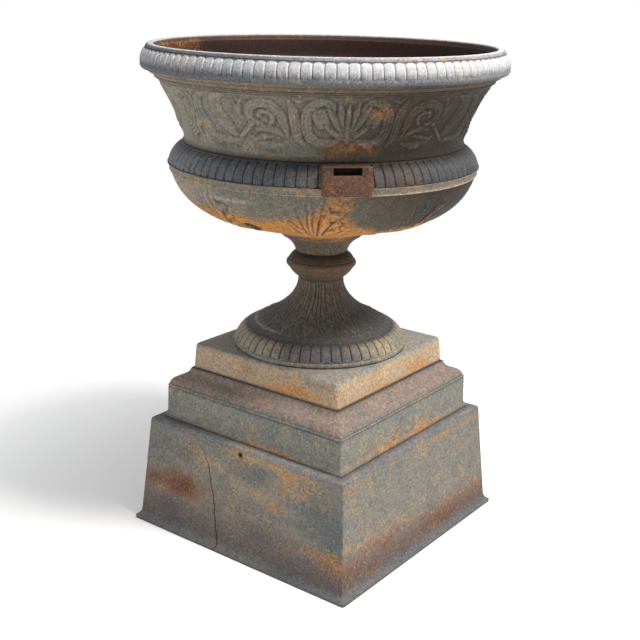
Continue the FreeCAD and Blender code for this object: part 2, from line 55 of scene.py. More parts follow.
# %% Levels from the frame
MM = 0.001


def places(mesh):
    """The points of a mesh in millimetres."""
    flat = np.empty(len(mesh.vertices) * 3, np.float32)
    mesh.vertices.foreach_get("co", flat)
    return flat.reshape(-1, 3) / MM


def span(node):
    """Lowest and highest level of a CAD node, to a tenth of a millimetre."""
    heights = places(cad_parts[node].data)[:, 2]
    return round(float(heights.min()), 1), round(float(heights.max()), 1)


BOX_LEVEL = span("plinth_side_front")[1]
CAP_LEVEL, SLAB_LEVEL = span("base_slab")
STEM_LEVEL = span("stem")[1]
JOINT_LEVEL, RIM_LEVEL = span("upper_bowl")
print("levels:", BOX_LEVEL, CAP_LEVEL, SLAB_LEVEL, STEM_LEVEL, JOINT_LEVEL, RIM_LEVEL)

# %% [markdown]
# ## Curves for profiles
# A foundry pattern is turned from a template, so its profile is a chain of straight runs, arcs and one or
# two free curves. Blender's curve objects could draw them, but as arrays of points they can be measured,
# joined and moved without an object for each.

# %% Steps and bells
def ramp(x, low, high):
    """Smooth step: 0 up to low, 1 from high on, and 3t^2 - 2t^3 between."""
    t = np.clip((np.asarray(x, float) - low) / (high - low), 0.0, 1.0)
    return t * t * (3.0 - 2.0 * t)


def bell(x, middle, half_width):
    """Bell curve exp(-((x - middle) / half_width)^2)."""
    return np.exp(-(((np.asarray(x, float) - middle) / half_width) ** 2))


print("a bell at its half width:", round(float(bell(1.0, 0.0, 1.0)), 3))


# %% Straight runs and arcs
def run(start, end, count):
    """Straight run: count points evenly spaced from start to end."""
    return np.linspace(start, end, count)


def arc(start, end, swell, count):
    """Flat arc: the straight run plus 4t(1 - t) of swell to its right."""
    start, end = np.array(start, float), np.array(end, float)
    t = np.linspace(0.0, 1.0, count)[:, None]
    along = end - start
    side = np.array([along[1], -along[0]]) / np.linalg.norm(along)
    return start + t * along + 4.0 * t * (1.0 - t) * swell * side


def bezier(start, pull, end, steps):
    """Quadratic Bezier curve (1-t)^2 start + 2t(1-t) pull + t^2 end at the given steps t."""
    t = np.asarray(steps, float)[:, None]
    start, pull, end = (np.array(p, float) for p in (start, pull, end))
    return (1 - t) ** 2 * start + 2 * t * (1 - t) * pull + t**2 * end


def chain(*parts):
    """Joins runs end to end and drops points that repeat the one before."""
    points = np.vstack(parts)
    keep = np.ones(len(points), bool)
    keep[1:] = np.linalg.norm(np.diff(points, axis=0), axis=1) > 1e-6
    return points[keep]


def lengths(points):
    """Distance along a chain of points, from 0 at its start."""
    return np.concatenate([[0.0], np.cumsum(np.linalg.norm(np.diff(points, axis=0), axis=1))])


def profile_normals(profile):
    """Unit normals of a profile walked with the metal on its left: (dz, -dr) over its length."""
    step = np.gradient(profile, axis=0)
    normal = np.stack([step[:, 1], -step[:, 0]], 1)
    return normal / np.linalg.norm(normal, axis=1)[:, None]


print("an arc over 10 mm, swollen by 1 mm:", round(lengths(arc((0, 0), (10, 0), 1.0, 9))[-1], 2), "mm")


# %% Splines
def spline(points, count):
    """Cubic spline through the points, on the length of the chords. The inner slopes make the curvature
    continuous, and each end slope is that of the parabola through the three points nearest it."""
    p = np.array(points, float)
    n = len(p)
    if n == 2:
        return np.linspace(p[0], p[1], count)
    k = lengths(p)
    h = np.diff(k)
    chord = np.diff(p, axis=0) / h[:, None]
    rows = np.zeros((n, n))
    wanted = np.zeros_like(p)
    rows[0, 0] = rows[-1, -1] = 1.0
    wanted[0] = chord[0] + (chord[0] - chord[1]) * h[0] / (h[0] + h[1])
    wanted[-1] = chord[-1] + (chord[-1] - chord[-2]) * h[-1] / (h[-1] + h[-2])
    inner = np.arange(1, n - 1)
    rows[inner, inner - 1] = h[1:]
    rows[inner, inner] = 2.0 * (h[:-1] + h[1:])
    rows[inner, inner + 1] = h[:-1]
    wanted[1:-1] = 3.0 * (chord[:-1] * h[1:, None] + chord[1:] * h[:-1, None])
    slope = np.linalg.solve(rows, wanted)
    s = np.linspace(0.0, k[-1], count)
    i = np.clip(np.searchsorted(k, s, side="right") - 1, 0, n - 2)
    t = ((s - k[i]) / h[i])[:, None]
    w = h[i][:, None]
    from_start = (1 + 2 * t) * (1 - t) ** 2 * p[i] + t * (1 - t) ** 2 * w * slope[i]
    to_end = t * t * (3 - 2 * t) * p[i + 1] + t * t * (t - 1) * w * slope[i + 1]
    return from_start + to_end


print("spline half way:", spline([(0, 0), (5, 3), (10, 0)], 3)[1].round(3))

# %% [markdown]
# ## From grids to meshes
# A turned casting is a grid: one direction runs along the profile, the other round the axis. The lobed rim
# needs over a thousand columns and the plain inside far fewer, so a casting is made of bands with
# their own column counts, and neighbouring bands are zipped together with triangles. The last band joins the
# first again, so every mesh is a closed skin. Where a spot is worn, sunk or rusty is stored at
# each point as an attribute, and the material reads it from there.

# %% Turned bands
def turned(profile, azimuth, lift=0.0):
    """Turned surface: (r sin a, -r cos a, z). lift moves points along the profile's normal."""
    normal = profile_normals(profile)
    r = profile[:, 0, None] + lift * normal[:, 0, None] + 0.0 * azimuth
    z = profile[:, 1, None] + lift * normal[:, 1, None] + 0.0 * azimuth
    return np.stack([r * np.sin(azimuth), -r * np.cos(azimuth), z], -1)


def even(count):
    """Azimuths of count columns, evenly spaced, in radians from the front."""
    return np.arange(count) * (2.0 * np.pi / count)


def azimuth_of(points):
    """Degrees round the axis from the front, -180 to 180, positive to the right."""
    return np.degrees(np.arctan2(points[:, 0], -points[:, 1]))


print("the second of 624 columns is at", round(math.degrees(even(624)[1]), 3), "degrees")


# %% Faces of grids and rings
def grid_quads(rows, columns, first=0, wrap=True):
    """Faces of a grid of points, row after row; wrap joins the last column to the first."""
    i = np.arange(rows - 1)[:, None]
    j = np.arange(columns if wrap else columns - 1)[None, :]
    k = (j + 1) % columns
    corners = [i * columns + j, i * columns + k, (i + 1) * columns + k, (i + 1) * columns + j]
    return first + np.stack(np.broadcast_arrays(*corners), -1).reshape(-1, 4)


def zip_rings(first_a, count_a, first_b, count_b):
    """Triangles between two rings: each edge of one takes the nearest point of the other."""
    i = np.arange(count_a)
    step = np.floor((i + 0.5) * count_b / count_a + 0.5).astype(int)
    j = np.arange(count_b)
    turn = np.searchsorted(step, j + 1)
    up = np.stack([first_a + i, first_a + (i + 1) % count_a, first_b + step % count_b], -1)
    down = np.stack([first_b + (j + 1) % count_b, first_b + j, first_a + turn % count_a], -1)
    return np.vstack([up, down])


def skin(bands):
    """Points, quads and triangles of bands of rings, zipped each to the next and the last to the first."""
    counts = [b.shape[0] * b.shape[1] for b in bands]
    firsts = np.concatenate([[0], np.cumsum(counts)[:-1]])
    quads, triangles = [], []
    for n, band in enumerate(bands):
        rows, columns = band.shape[:2]
        quads.append(grid_quads(rows, columns, firsts[n]))
        following = (n + 1) % len(bands)
        top = firsts[n] + (rows - 1) * columns
        triangles.append(zip_rings(top, columns, firsts[following], bands[following].shape[1]))
    points = np.vstack([b.reshape(-1, 3) for b in bands])
    return points, np.vstack(quads), np.vstack(triangles), []


def spread(bands, values):
    """One value per point: values holds for each band a number or an array of the band's shape."""
    return np.concatenate([(np.zeros(b.shape[:2]) + v).ravel() for b, v in zip(bands, values)])


def casting(bands):
    """The skin of an outer band and a lining, and for every point its azimuth, its height and whether it
    lies on the outer band."""
    body = skin(bands)
    points = body[0]
    outside = np.arange(len(points)) < bands[0].shape[0] * bands[0].shape[1]
    return body, azimuth_of(points), points[:, 2], outside


def joined(bodies):
    """Several bodies of (points, quads, triangles, ends) as one."""
    firsts = np.concatenate([[0], np.cumsum([len(b[0]) for b in bodies])[:-1]])
    points = np.vstack([b[0] for b in bodies])
    quads = np.vstack([b[1] + f for b, f in zip(bodies, firsts)])
    triangles = np.vstack([b[2] + f for b, f in zip(bodies, firsts)])
    ends = [np.array(e) + f for b, f in zip(bodies, firsts) for e in b[3]]
    return points, quads, triangles, ends


print("rings of 12 and 8 points:", len(zip_rings(0, 12, 12, 8)), "triangles between them")

# %% Meshes with marks
MARKS = ("rust", "ochre", "groove", "wear")


def fill_mesh(mesh, points, quads, triangles, ends):
    """Puts arrays into a mesh: points in millimetres, quads, triangles and a few larger end faces."""
    loops = np.concatenate([quads.ravel(), triangles.ravel()] + [np.array(e) for e in ends])
    sizes = [np.full(len(quads), 4), np.full(len(triangles), 3), np.array([len(e) for e in ends], int)]
    sizes = np.concatenate(sizes)
    starts = np.concatenate([[0], np.cumsum(sizes)[:-1]])
    mesh.vertices.add(len(points))
    mesh.vertices.foreach_set("co", (points * MM).astype(np.float32).ravel())
    mesh.loops.add(len(loops))
    mesh.loops.foreach_set("vertex_index", loops.astype(np.int32))
    mesh.polygons.add(len(sizes))
    mesh.polygons.foreach_set("loop_start", starts.astype(np.int32))
    mesh.update(calc_edges=True)
    mesh.shade_smooth()


def paint_marks(mesh, tint, marks):
    """Stores the paint colour, and the rust, ochre, groove and wear amounts, of every point."""
    colour = np.ones((len(mesh.vertices), 4), np.float32)
    colour[:, :3] = tint
    mesh.attributes.new("tint", "FLOAT_COLOR", "POINT").data.foreach_set("color", colour.ravel())
    for name in MARKS:
        values = np.zeros(len(mesh.vertices), np.float32) + marks.get(name, 0.0)
        mesh.attributes.new(name, "FLOAT", "POINT").data.foreach_set("value", values.astype(np.float32))


def make_piece(name, body, node, material, tint, marks, crease=50.0):
    """A new piece from a body, with its marks, in place of a CAD node."""
    mesh = bpy.data.meshes.new(name)
    fill_mesh(mesh, *body)
    paint_marks(mesh, tint, marks)
    mesh.set_sharp_from_angle(angle=math.radians(crease))
    piece = bpy.data.objects.new(name, mesh)
    bpy.context.scene.collection.objects.link(piece)
    mesh.materials.append(material)
    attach(piece, "root")
    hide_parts(node)
    mesh.calc_loop_triangles()
    print(name, "points", len(mesh.vertices), "triangles", len(mesh.loop_triangles))
    return piece


print("marks at each point: tint,", ", ".join(MARKS))

# %% Holes through a piece
HOLE_SIDES = 32


def read_marks(mesh):
    """Every attribute of paint_marks as one array, a row for each point."""
    count = len(mesh.vertices)
    tint = np.empty(count * 4, np.float32)
    mesh.attributes["tint"].data.foreach_get("color", tint)
    columns = [tint.reshape(-1, 4)]
    for name in MARKS:
        values = np.empty(count, np.float32)
        mesh.attributes[name].data.foreach_get("value", values)
        columns.append(values[:, None])
    return np.hstack(columns)


def drill(piece, start, end, radius):
    """Round hole from start to end: the piece less a cylinder. Points near the hole then take the marks
    of the old point nearest to each, and the wall of the hole is painted dark as shade."""
    mesh = piece.data
    old_places, old_marks = places(mesh), read_marks(mesh)
    start, end = Vector(start) * MM, Vector(end) * MM
    turn = (end - start).to_track_quat("Z", "Y").to_matrix().to_4x4()
    shape = bmesh.new()
    bmesh.ops.create_cone(shape, cap_ends=True, segments=HOLE_SIDES, radius1=radius * MM,
                          radius2=radius * MM, depth=(end - start).length,
                          matrix=Matrix.Translation((start + end) / 2) @ turn)
    cutter_mesh = bpy.data.meshes.new("cutter")
    shape.to_mesh(cutter_mesh)
    shape.free()
    cutter = bpy.data.objects.new("cutter", cutter_mesh)
    bpy.context.scene.collection.objects.link(cutter)
    hole = piece.modifiers.new("hole", "BOOLEAN")
    hole.operation = "DIFFERENCE"
    hole.solver = "EXACT"
    hole.object = cutter
    with bpy.context.temp_override(object=piece, active_object=piece):
        bpy.ops.object.modifier_apply(modifier=hole.name)
    bpy.data.objects.remove(cutter)
    bpy.data.meshes.remove(cutter_mesh)
    middle = np.array((start + end) / 2) / MM
    reach = (end - start).length / MM / 2 + radius
    old_near = np.where(np.linalg.norm(old_places - middle, axis=1) < reach + 20.0)[0]
    new_places, new_marks = places(mesh), read_marks(mesh)
    near = np.where(np.linalg.norm(new_places - middle, axis=1) < reach + 6.0)[0]
    apart = np.linalg.norm(new_places[near][:, None] - old_places[old_near][None], axis=2)
    new_marks[near] = old_marks[old_near[apart.argmin(1)]]
    axis = np.array((end - start).normalized())
    off_axis = np.linalg.norm(np.cross(new_places[near] - middle, axis), axis=1)
    # Painted shade: the wall of the hole is darkened as if in shadow.
    new_marks[near[off_axis < radius * 1.01], 4 + MARKS.index("groove")] = 0.95
    mesh.attributes["tint"].data.foreach_set("color", new_marks[:, :4].ravel())
    for n, name in enumerate(MARKS):
        mesh.attributes[name].data.foreach_set("value", np.ascontiguousarray(new_marks[:, 4 + n]))
    mesh.update()
    print(piece.name, "drilled: points", len(old_places), "to", len(new_places))


print("holes have", HOLE_SIDES, "sides")

# %% [markdown]
# ## Weathered iron
# The real finish is old grey-green paint over iron that has rusted through in patches: teal and tan
# mottling in the paint, ochre to red-brown rust, grooves and hollows darkened partly by dirt and partly
# by painted shade, pale worn edges and a gritty, pitted skin. All the castings share these effects, so
# they are one node group. What differs from casting to casting comes from the points' attributes: the
# paint's colour with its painted light and shade, and where rust and wear sit. A painted picture could
# hold all this, but noise stays sharp however near one looks.

# %% Small helpers for node trees
def plug(tree, socket, value):
    """Links a socket to another one, or sets its value."""
    if isinstance(value, bpy.types.NodeSocket):
        tree.links.new(value, socket)
    else:
        socket.default_value = value


def add_node(tree, kind, settings=None, **inputs):
    """A node with properties from settings and socket values, or links, from inputs."""
    node = tree.nodes.new(kind)
    for key, value in (settings or {}).items():
        setattr(node, key, value)
    for key, value in inputs.items():
        plug(tree, node.inputs[key.replace("_", " ")], value)
    return node


def mixed(tree, factor, a, b, blend="MIX"):
    """Colour a mixed towards b by factor."""
    node = add_node(tree, "ShaderNodeMix", {"data_type": "RGBA", "blend_type": blend})
    for index, value in ((0, factor), (6, a), (7, b)):
        plug(tree, node.inputs[index], value)
    return node.outputs[2]


def sums(tree, operation, a, b):
    """One Math node: operation on a and b."""
    node = add_node(tree, "ShaderNodeMath", {"operation": operation})
    plug(tree, node.inputs[0], a)
    plug(tree, node.inputs[1], b)
    return node.outputs[0]


def stepped(tree, value, low, high, out_low=0.0, out_high=1.0):
    """Smooth step of a value from low to high, onto out_low to out_high."""
    node = add_node(tree, "ShaderNodeMapRange", {"interpolation_type": "SMOOTHSTEP"}, Value=value)
    for name, number in (("From Min", low), ("From Max", high), ("To Min", out_low), ("To Max", out_high)):
        node.inputs[name].default_value = number
    return node.outputs["Result"]


def noise(tree, coords, scale, detail, roughness, seed):
    """Fractal noise, about 0.5 in the mean; seed moves it along the fourth axis."""
    node = add_node(tree, "ShaderNodeTexNoise", {"noise_dimensions": "4D"}, Vector=coords)
    for name, number in (("W", seed), ("Scale", scale), ("Detail", detail), ("Roughness", roughness)):
        node.inputs[name].default_value = number
    return node.outputs["Fac"]


def rgb(r, g, b):
    """Colour of a node socket: red, green, blue and full cover."""
    return (r, g, b, 1.0)


print("white:", rgb(1.0, 1.0, 1.0))

# %% The shared weathering group: noises
weather = bpy.data.node_groups.new("iron_weather", "ShaderNodeTree")
for name, kind in (("Tint", "NodeSocketColor"), ("Rust", "NodeSocketFloat"), ("Ochre", "NodeSocketFloat"),
                   ("Groove", "NodeSocketFloat"), ("Wear", "NodeSocketFloat")):
    weather.interface.new_socket(name, in_out="INPUT", socket_type=kind)
for name, kind in (("Color", "NodeSocketColor"), ("Roughness", "NodeSocketFloat"),
                   ("Height", "NodeSocketFloat")):
    weather.interface.new_socket(name, in_out="OUTPUT", socket_type=kind)
given = weather.nodes.new("NodeGroupInput").outputs
coords = weather.nodes.new("ShaderNodeTexCoord").outputs["Object"]
grain = noise(weather, coords, 330.0, 3.0, 0.65, 4.0)
coarse = noise(weather, coords, 130.0, 4.0, 0.65, 9.0)


def times(a, b):
    """Product of two values inside the weathering group."""
    return sums(weather, "MULTIPLY", a, b)


def plus(a, b):
    """Sum of two values inside the weathering group."""
    return sums(weather, "ADD", a, b)


def blotches(seed, patch_size):
    """Sum of broad, patch and fine noise and the grain, about 0 in the mean, so that a threshold on it
    gives patches with a gritty border."""
    total = times(noise(weather, coords, 0.35 / patch_size, 3.0, 0.5, seed), 0.50)
    total = plus(total, times(noise(weather, coords, 1.0 / patch_size, 6.0, 0.62, seed + 20.0), 0.60))
    total = plus(total, times(coarse, 0.24))
    total = plus(total, times(grain, 0.14))
    return sums(weather, "SUBTRACT", total, 0.74)


print("weathering group has", len(weather.interface.items_tree), "sockets")

# %% The shared weathering group: colour
RUST_DARK = rgb(0.105, 0.047, 0.031)
RUST_OCHRE = rgb(0.470, 0.208, 0.056)
# The dark of grooves, hollows, holes and joints: partly dirt, partly painted shade.
DIRT_AND_SHADE = rgb(0.026, 0.021, 0.018)
BARE = rgb(0.560, 0.545, 0.520)
FLECK = rgb(0.500, 0.500, 0.460)

teal = mixed(weather, 1.0, given["Tint"], rgb(0.77, 0.86, 0.88), "MULTIPLY")
tan = mixed(weather, 1.0, given["Tint"], rgb(1.32, 1.09, 0.85), "MULTIPLY")
brightness = add_node(weather, "ShaderNodeRGBToBW", Color=given["Tint"]).outputs["Val"]
calm = stepped(weather, brightness, 0.24, 0.40, 1.0, 0.2)
teal_part = times(calm, stepped(weather, blotches(1.0, 0.032), -0.02, 0.12))
tan_part = times(calm, stepped(weather, blotches(2.0, 0.026), 0.00, 0.16))
paint = mixed(weather, teal_part, given["Tint"], teal)
paint = mixed(weather, tan_part, paint, tan)

rusting = plus(given["Rust"], times(blotches(3.0, 0.030), 1.4))
rusted = stepped(weather, rusting, 0.10, 0.82)
fine_mix = plus(times(coarse, 0.9), times(grain, 0.9))
ochre_part = plus(given["Ochre"], sums(weather, "SUBTRACT", fine_mix, 0.9))
rust_hue = mixed(weather, stepped(weather, ochre_part, 0.10, 0.90), RUST_DARK, RUST_OCHRE)
surface = mixed(weather, rusted, paint, rust_hue)
print("paint and rust mixed with", len(weather.nodes), "nodes")

# %% The shared weathering group: grit, dirt, wear and specks
gritty = stepped(weather, grain, 0.28, 0.72, 0.60, 1.40)
mottled = stepped(weather, coarse, 0.30, 0.70, 0.74, 1.26)
gritty = times(gritty, mottled)
gritty_grey = add_node(weather, "ShaderNodeCombineColor", Red=gritty, Green=gritty, Blue=gritty)
smoothed = sums(weather, "MAXIMUM", times(rusted, 0.4), stepped(weather, brightness, 0.24, 0.40, 0.0, 0.5))
gritty_part = mixed(weather, smoothed, gritty_grey.outputs["Color"], rgb(1.0, 1.0, 1.0))
surface = mixed(weather, 1.0, surface, gritty_part, "MULTIPLY")
surface = mixed(weather, times(given["Groove"], 0.9), surface, DIRT_AND_SHADE)
scuffed = times(given["Wear"], stepped(weather, coarse, 0.36, 0.60, 0.2, 1.0))
surface = mixed(weather, scuffed, surface, BARE)
cells = add_node(weather, "ShaderNodeTexVoronoi", Vector=coords, Scale=120.0).outputs["Distance"]
rare = noise(weather, coords, 26.0, 2.0, 0.5, 31.0)
specks = times(stepped(weather, cells, 0.16, 0.09), stepped(weather, rare, 0.58, 0.66))
specks = times(specks, stepped(weather, brightness, 0.05, 0.11))
surface = mixed(weather, specks, surface, FLECK)
print("surface colour mixed with", len(weather.nodes), "nodes")

# %% The shared weathering group: gloss and grit
pit_cells = add_node(weather, "ShaderNodeTexVoronoi", Vector=coords, Scale=210.0).outputs["Distance"]
height = times(stepped(weather, pit_cells, 0.05, 0.45), 0.3)
height = plus(height, times(grain, 0.6))
height = plus(height, times(coarse, 0.8))
group_out = weather.nodes.new("NodeGroupOutput")
weather.links.new(surface, group_out.inputs["Color"])
weather.links.new(stepped(weather, rusted, 0.0, 1.0, 0.66, 0.92), group_out.inputs["Roughness"])
weather.links.new(height, group_out.inputs["Height"])
print("weathering group has", len(weather.nodes), "nodes")


# %% Materials from the group
def iron(name, grit, constant=None):
    """Weathered iron: the group's colour and roughness, with grit millimetres of bump. The group reads
    each point's marks, or constant values for a CAD node, which has none."""
    material = bpy.data.materials.new(name)
    material.use_nodes = True
    tree = material.node_tree
    tree.nodes.clear()
    group = add_node(tree, "ShaderNodeGroup", {"node_tree": weather})
    if constant:
        for key, value in constant.items():
            group.inputs[key].default_value = value
    else:
        tint = add_node(tree, "ShaderNodeAttribute", {"attribute_name": "tint"})
        tree.links.new(tint.outputs["Color"], group.inputs["Tint"])
        for mark in MARKS:
            source = add_node(tree, "ShaderNodeAttribute", {"attribute_name": mark})
            tree.links.new(source.outputs["Fac"], group.inputs[mark.capitalize()])
    shader = tree.nodes.new("ShaderNodeBsdfPrincipled")
    shader.inputs["Specular IOR Level"].default_value = 0.30
    tree.links.new(group.outputs["Color"], shader.inputs["Base Color"])
    tree.links.new(group.outputs["Roughness"], shader.inputs["Roughness"])
    rough = add_node(tree, "ShaderNodeBump", Strength=0.9, Distance=grit * MM, Height=group.outputs["Height"])
    tree.links.new(rough.outputs["Normal"], shader.inputs["Normal"])
    output = tree.nodes.new("ShaderNodeOutputMaterial")
    tree.links.new(shader.outputs["BSDF"], output.inputs["Surface"])
    return material


bowl_finish = iron("weathered_bowl_iron", 0.9)
socket_finish = iron("pitted_socket_iron", 1.8)
stem_finish = iron("weathered_stem_iron", 0.9)
slab_finish = iron("gritty_slab_iron", 1.5)
plinth_finish = iron("weathered_plinth_iron", 1.0)
bolt_finish = iron("rusted_bolt_steel", 0.5, {"Tint": rgb(0.12, 0.08, 0.06), "Rust": 0.6, "Ochre": 0.15})
FASTENERS = ("bowl_bolts", "bowl_nuts", "tie_rod", "rod_washer", "rod_top_nut", "rod_clamp_plate",
             "rod_bottom_nut", "cap_bolts", "cap_nuts", "mitre_bolts", "mitre_nuts")
for name in FASTENERS:
    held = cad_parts[name].data
    held.materials.clear()
    held.materials.append(bolt_finish)
print("finishes for", len(FASTENERS), "fastener nodes and 5 kinds of casting")


# %% Colours and marks by place
def banded(level, *stops):
    """Colour by level: (level, colour) stops in rising order, blended between stops."""
    at = [stop for stop, _ in stops]
    return np.stack([np.interp(level, at, [c[k] for _, c in stops]) for k in range(3)], -1)


def towards(tint, share, colour):
    """Colours moved towards one colour, each point by its share."""
    share = share[:, None]
    return tint * (1.0 - share) + share * np.array(colour)


def spots(along, level, places):
    """Sum of oval spots: places are (along, level, half width, half height, amount)."""
    total = np.zeros(len(along))
    for a, z, width, height, amount in places:
        total += amount * bell(along, a, width) * bell(level, z, height)
    return total


def blotted(tint, along, level, places):
    """Paint colour moved towards the colour of each oval spot, by its strength."""
    for a, z, width, height, strength, colour in places:
        tint = towards(tint, strength * bell(along, a, width) * bell(level, z, height), colour)
    return tint


print("between black and white:", banded(np.array([0.5]), (0, (0, 0, 0)), (1, (1, 1, 1)))[0])

# %% [markdown]
# ## Lobes and carved relief
# Three bands of lobes, on the rim, the shoulder and the foot, are rows of pillows with a narrow groove
# between. The frieze and the leaves are carved: every frond is a fluted ridge along a curved spine, and a
# later frond lies over the earlier ones with a cut line round it, as a carver would work. Both could be
# sculpted, or displaced with a picture, but as formulas they stay sharp and can be moved.

# %% Lobes
LOBE_COLUMNS = np.array([0.0, 0.12, 0.23, 0.32, 0.39, 0.45, 0.5, 0.55, 0.61, 0.68, 0.77, 0.88])


def lobe_azimuths(count):
    """Twelve columns to a lobe, close together at the groove."""
    return ((np.arange(count)[:, None] + LOBE_COLUMNS) * (2.0 * np.pi / count)).ravel()


def lobe_phase(count, azimuth):
    """Place across a lobe: 0 on its middle, 0.5 in the groove to its right, then on to 1."""
    return (azimuth * count / (2.0 * np.pi)) % 1.0


def lobes(count, azimuth, along, depth, fullness, squareness=8.0):
    """Sink of the surface between lobes, and how deep in a groove each point lies, from 0 to 1. across
    is 0 on a lobe's middle and 1 in the groove, along runs from 0 to 1 over the lobe's length, and the
    pillow is the root of 1 - across^fullness - |2 along - 1|^squareness."""
    across = (1.0 - np.abs(1.0 - 2.0 * lobe_phase(count, azimuth)))[None, :]
    along = np.asarray(along)[:, None]
    inside = (along > 0.0) & (along < 1.0)
    end = np.abs(2.0 * along - 1.0) ** squareness
    pillow = np.sqrt(np.clip(1.0 - across**fullness - end, 0.0, 1.0))
    sunk = np.where(inside, 1.0 - pillow, 0.0)
    return -depth * sunk * (0.35 + 0.65 * across**2), np.where(inside, ramp(sunk * across, 0.35, 0.85), 0.0)


print("columns to a lobe:", len(LOBE_COLUMNS))


# %% Carving
def carve(height, u, v, spine, widths, rise, ribs=1, moat=0.9, valley=1.8):
    """Lays one frond on a height map. Over its half width w, read along the spine from widths, it rises
    to rise * (1 - q^2)^0.42 with q the distance from the spine over w, and ribs flutes, an odd number,
    wave across it. Just outside it, what was there before sinks into a cut line, moat deep."""
    line = spline(spine, 200)
    line = spline(spine, max(14, int(lengths(line)[-1] / 1.4)))
    w = np.interp(np.linspace(0, 1, len(line)), np.linspace(0, 1, len(widths)), widths)
    reach = max(widths) + valley
    low, high = line.min(0) - reach, line.max(0) + reach
    near = (u > low[0]) & (u < high[0]) & (v > low[1]) & (v < high[1])
    apart = (u[near][:, None] - line[:, 0]) ** 2 + (v[near][:, None] - line[:, 1]) ** 2
    nearest = apart.argmin(1)
    d = np.sqrt(apart.min(1))
    q = d / w[nearest]
    own = rise * np.clip(1.0 - q * q, 0.0, 1.0) ** 0.42
    if ribs > 1:
        own = own * (0.42 + 0.58 * (0.5 + 0.5 * np.cos(np.pi * ribs * q)))
    outside = ramp(d - w[nearest], 0.0, valley)
    height[near] = np.where(q < 1.0, own, height[near] * outside - moat * (1.0 - outside))


def spiral(centre, start_radius, end_radius, start, turn, count=14):
    """Spine of a volute: the radius changes evenly while the angle goes from start through turn."""
    t = np.linspace(0.0, 1.0, count)
    radius = start_radius + (end_radius - start_radius) * t
    angle = np.radians(start + turn * t)
    return np.stack([centre[0] + radius * np.cos(angle), centre[1] + radius * np.sin(angle)], 1)


def softened(height, rounds):
    """Height map averaged with its neighbours, rounds times over, joined across the seam."""
    soft = height.copy()
    for _ in range(rounds):
        soft = (np.roll(soft, 1, 1) + 2.0 * soft + np.roll(soft, -1, 1)) / 4.0
        padded = np.vstack([soft[:1], soft, soft[-1:]])
        soft = (padded[:-2] + 2.0 * soft + padded[2:]) / 4.0
    return soft


def hollows_and_crests(height, scale):
    """How sunk and how proud each point is against its surroundings, both from 0 to 1."""
    above = height - softened(height, 9)
    return np.clip(-above / scale, 0.0, 1.0), np.clip(above / scale, 0.0, 1.0)


print("a volute has", len(spiral((0.0, 0.0), 30.0, 5.0, 0.0, 360.0)), "points along its spine")

# %% [markdown]
# ## Upper bowl: the frieze wall
# The upper half of the bowl flares from the joint to a heavy lobed rim. Its wall carries a low frieze of
# scrolling stems: a palmette over each handle socket, a scroll round a boss beside it, then a volute, tall
# leaves, a big swirl and, midway between the sockets, a second palmette. The pattern mirrors about the
# sockets and about the lines midway between, so one quarter is drawn, on an angle folded into 0 to 90
# degrees, and the rest follows. The casting is made as two pieces, wall and rim, to keep each mesh of a
# handy size.

# %% Frieze: where it lies
SOCKET_AZIMUTH = math.radians(45.0)
WALL_COLUMNS = 1280
wall_azimuth = even(WALL_COLUMNS)
wall_steps = np.concatenate([np.linspace(0.0, 0.135, 5), np.linspace(0.150, 0.998, 55)])
wall = bezier((294.0, 884.0), (316.0, 955.0), (350.0, 1003.0), wall_steps)
wall_length = lengths(wall)
WALL_RADIUS = 322.0
DEGREE = math.radians(1.0) * WALL_RADIUS


def folded(azimuth):
    """Degrees from the nearest socket, 0 to 90, mirrored at both ends."""
    turn = np.degrees(azimuth - SOCKET_AZIMUTH) % 180.0
    return np.minimum(turn, 180.0 - turn)


def on_wall(points):
    """(degrees from the socket, height) turned into millimetres across and up the wall."""
    p = np.array(points, float)
    return np.stack([p[:, 0] * DEGREE, np.interp(p[:, 1], wall[:, 1], wall_length)], 1)


frieze_u, frieze_v = np.meshgrid(folded(wall_azimuth) * DEGREE, wall_length)
frieze = np.zeros_like(frieze_u)


def frond(spine, widths, rise=4.0, ribs=1, moat=1.3):
    """One frond of the frieze, carved along (degrees from the socket, height), a quarter wider than given."""
    wide = 1.25 * np.array(widths)
    carve(frieze, frieze_u, frieze_v, on_wall(spine), wide, rise, ribs, moat, 1.5)


print("frieze grid:", frieze.shape)

# %% Frieze: swirl and tall leaves
swirl = on_wall([(67.5, 946.0)])[0]
for radius in (54.0, 45.5, 37.0, 28.5, 20.0, 11.5, 3.0):
    band = spiral(swirl, radius, radius * 0.9, 84.0, 196.0)
    carve(frieze, frieze_u, frieze_v, band, (2.0, 3.8, 3.8, 3.8, 2.0), 3.8, 1, 1.5, 1.5)
frond([(90, 906), (83, 915), (79, 940), (79.5, 965), (84, 984), (90, 988)], (3, 7, 8, 7, 4), ribs=3)
frond([(63, 990), (68, 984), (73, 986), (77, 992)], (2, 6, 6, 2), 3.6, ribs=3)
TALL_LEAVES = [
    ([(58, 906), (60, 925), (57, 950), (58, 975), (61, 992)], (2, 7, 8, 7, 2), 3),
    ([(49, 905), (53, 925), (56, 950), (55, 975), (50, 993)], (2, 10, 12, 10, 2), 3),
    ([(38.5, 912), (43, 932), (46.5, 960), (46, 980), (41, 993)], (3, 11, 14, 12, 3), 5),
    ([(38.0, 910), (45, 906), (51, 911), (55, 922)], (3, 7, 7, 2), 3),
]
for spine, widths, ribs in TALL_LEAVES:
    frond(spine, widths, 4.0, ribs)
print("tall leaves:", len(TALL_LEAVES))

